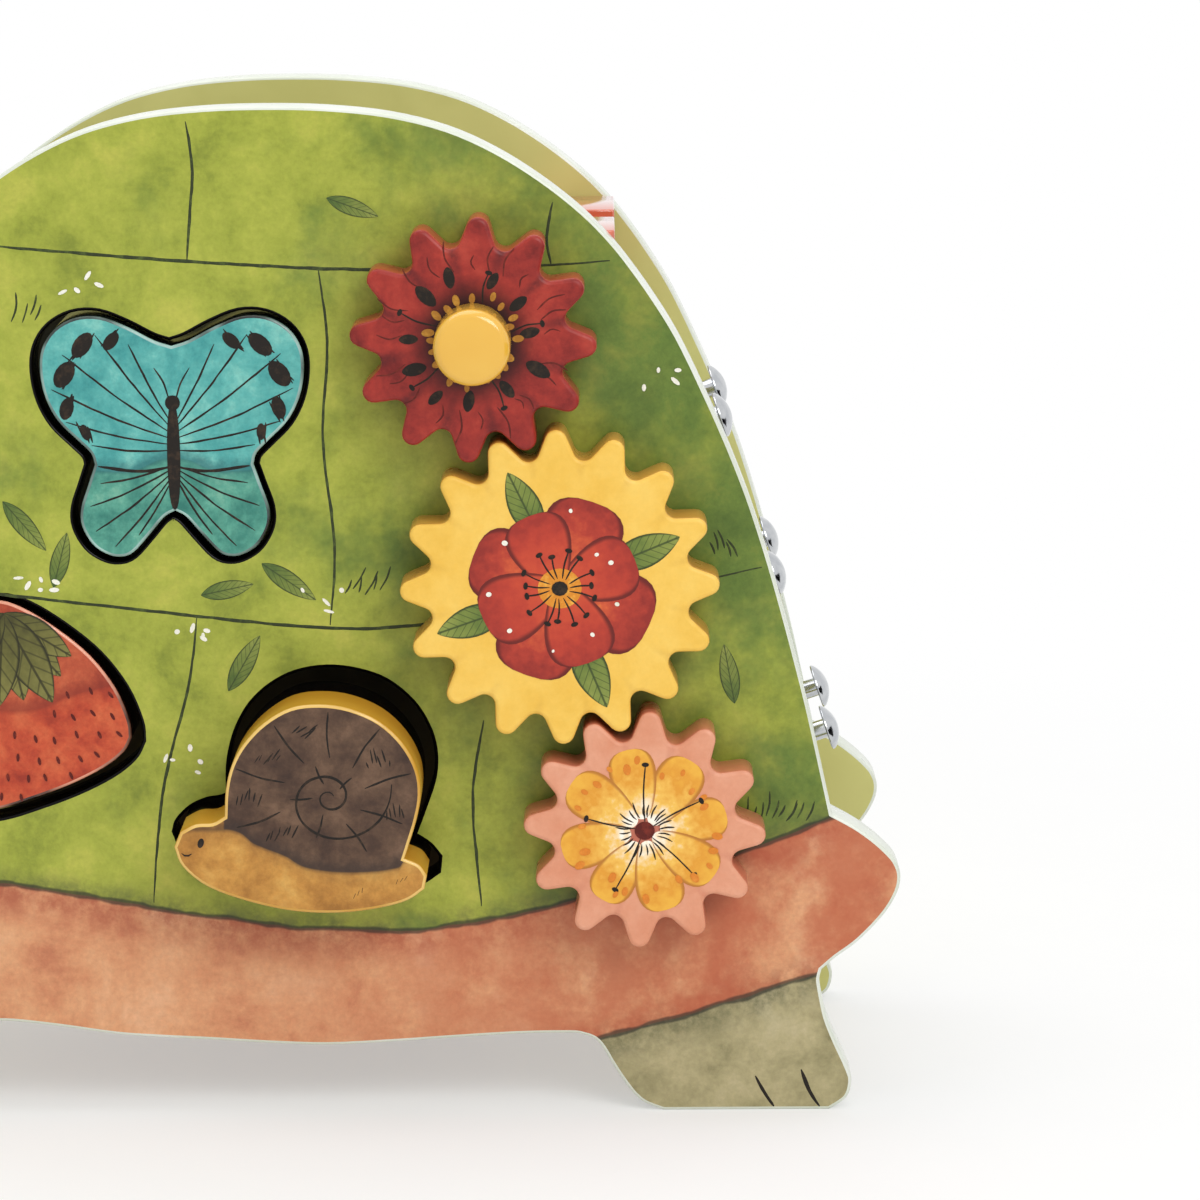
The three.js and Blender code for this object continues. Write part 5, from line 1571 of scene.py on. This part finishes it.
# %% The world
room_light, seen_light = 0.68, 1.0
world = bpy.data.worlds.new("studio")
world.use_nodes = True
world.node_tree.nodes.clear()
node = partial(add, world.node_tree)
ray = node("ShaderNodeLightPath")
seen = node("ShaderNodeMath", ray.outputs["Is Camera Ray"], ray.outputs["Is Glossy Ray"])
seen = node("ShaderNodeMath", seen, ray.outputs["Is Transmission Ray"], use_clamp=True)
strength = node("ShaderNodeMapRange", seen, 0, 1, room_light, seen_light)
node("ShaderNodeOutputWorld", node("ShaderNodeBackground", "#ffffff", strength))
bpy.context.scene.world = world
print("the world lights the toy with", room_light)

# %% Lamps
def softbox(name, at, towards, width, height, watts):
    """A large soft lamp at a place, turned towards a point."""
    light = bpy.data.lights.new(name, "AREA")
    light.shape = "RECTANGLE"
    light.size, light.size_y, light.energy = width, height, watts
    lamp = link(bpy.data.objects.new(name, light))
    lamp.location = at
    lamp.rotation_euler = (Vector(towards) - Vector(at)).to_track_quat("-Z", "Y").to_euler()
    lamp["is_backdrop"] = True
    print(name, watts, "W")


softbox("front_softbox", (0.75, -1.1, 1.05), (0.03, 0, 0.12), 0.9, 0.7, 10)
softbox("top_softbox", (-0.2, 0.1, 1.3), (0.03, 0, 0.1), 1.1, 1.1, 6)

# %% A black card beside the toy, out of view, for the chrome to reflect
card = link(bpy.data.objects.new("black_card", bpy.data.meshes.new("black_card")))
card_x, card_near, card_far, card_low, card_top = 0.6, -0.45, 0.1, 0.02, 0.22
card.data.from_pydata([(card_x, card_near, card_low), (card_x, card_far, card_low),
                       (card_x, card_far, card_top), (card_x, card_near, card_top)], [], [(0, 1, 2, 3)])
# Black velvet gives no light back, so the chrome beside it shows a dark streak.
card_material, node, shader = finish("black_velvet", Roughness=0.9, Specular_IOR_Level=0.1)
nap = node("ShaderNodeTexNoise", millimetres(node), Scale=1 / 9)
fill(shader, Base_Color=node("ShaderNodeMix", nap, "#0a0a0a", "#141414", **COLOURS))
card.data.materials.append(card_material)
card.visible_camera = False
card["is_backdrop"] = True
print("card:", round(card_top - card_low, 2), "m tall")

# %% The camera, a little over a metre away and above the toy
looks_right, looks_down, rolls = 0.116, 10.91, -0.33
camera = link(bpy.data.objects.new("camera", bpy.data.cameras.new("camera")))
camera.data.sensor_width = 36
camera.data.lens = 133.9
camera.location = (0.11405, -1.17672, 0.35655)
aim = Matrix.Identity(3)
for axis, degrees in (("Z", looks_right), ("X", 90 - looks_down), ("Z", rolls)):
    aim = aim @ Matrix.Rotation(math.radians(degrees), 3, axis)
camera.rotation_euler = aim.to_euler()
bpy.context.scene.camera = camera
bpy.context.scene.view_settings.view_transform = "Standard"
print("camera lens:", round(camera.data.lens, 1), "mm")

# %% [markdown]
# ## The size
# Both boxes, of the solid model and of the dressed toy, are printed. The dressed toy has to
# stay in the box of the solid model.

# %% The sizes of both boxes
dressed_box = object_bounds()
for label, corners in (("solids", cad_box), ("dressed", dressed_box)):
    print(label, [round(value / MM, 2) for corner in corners for value in corner])
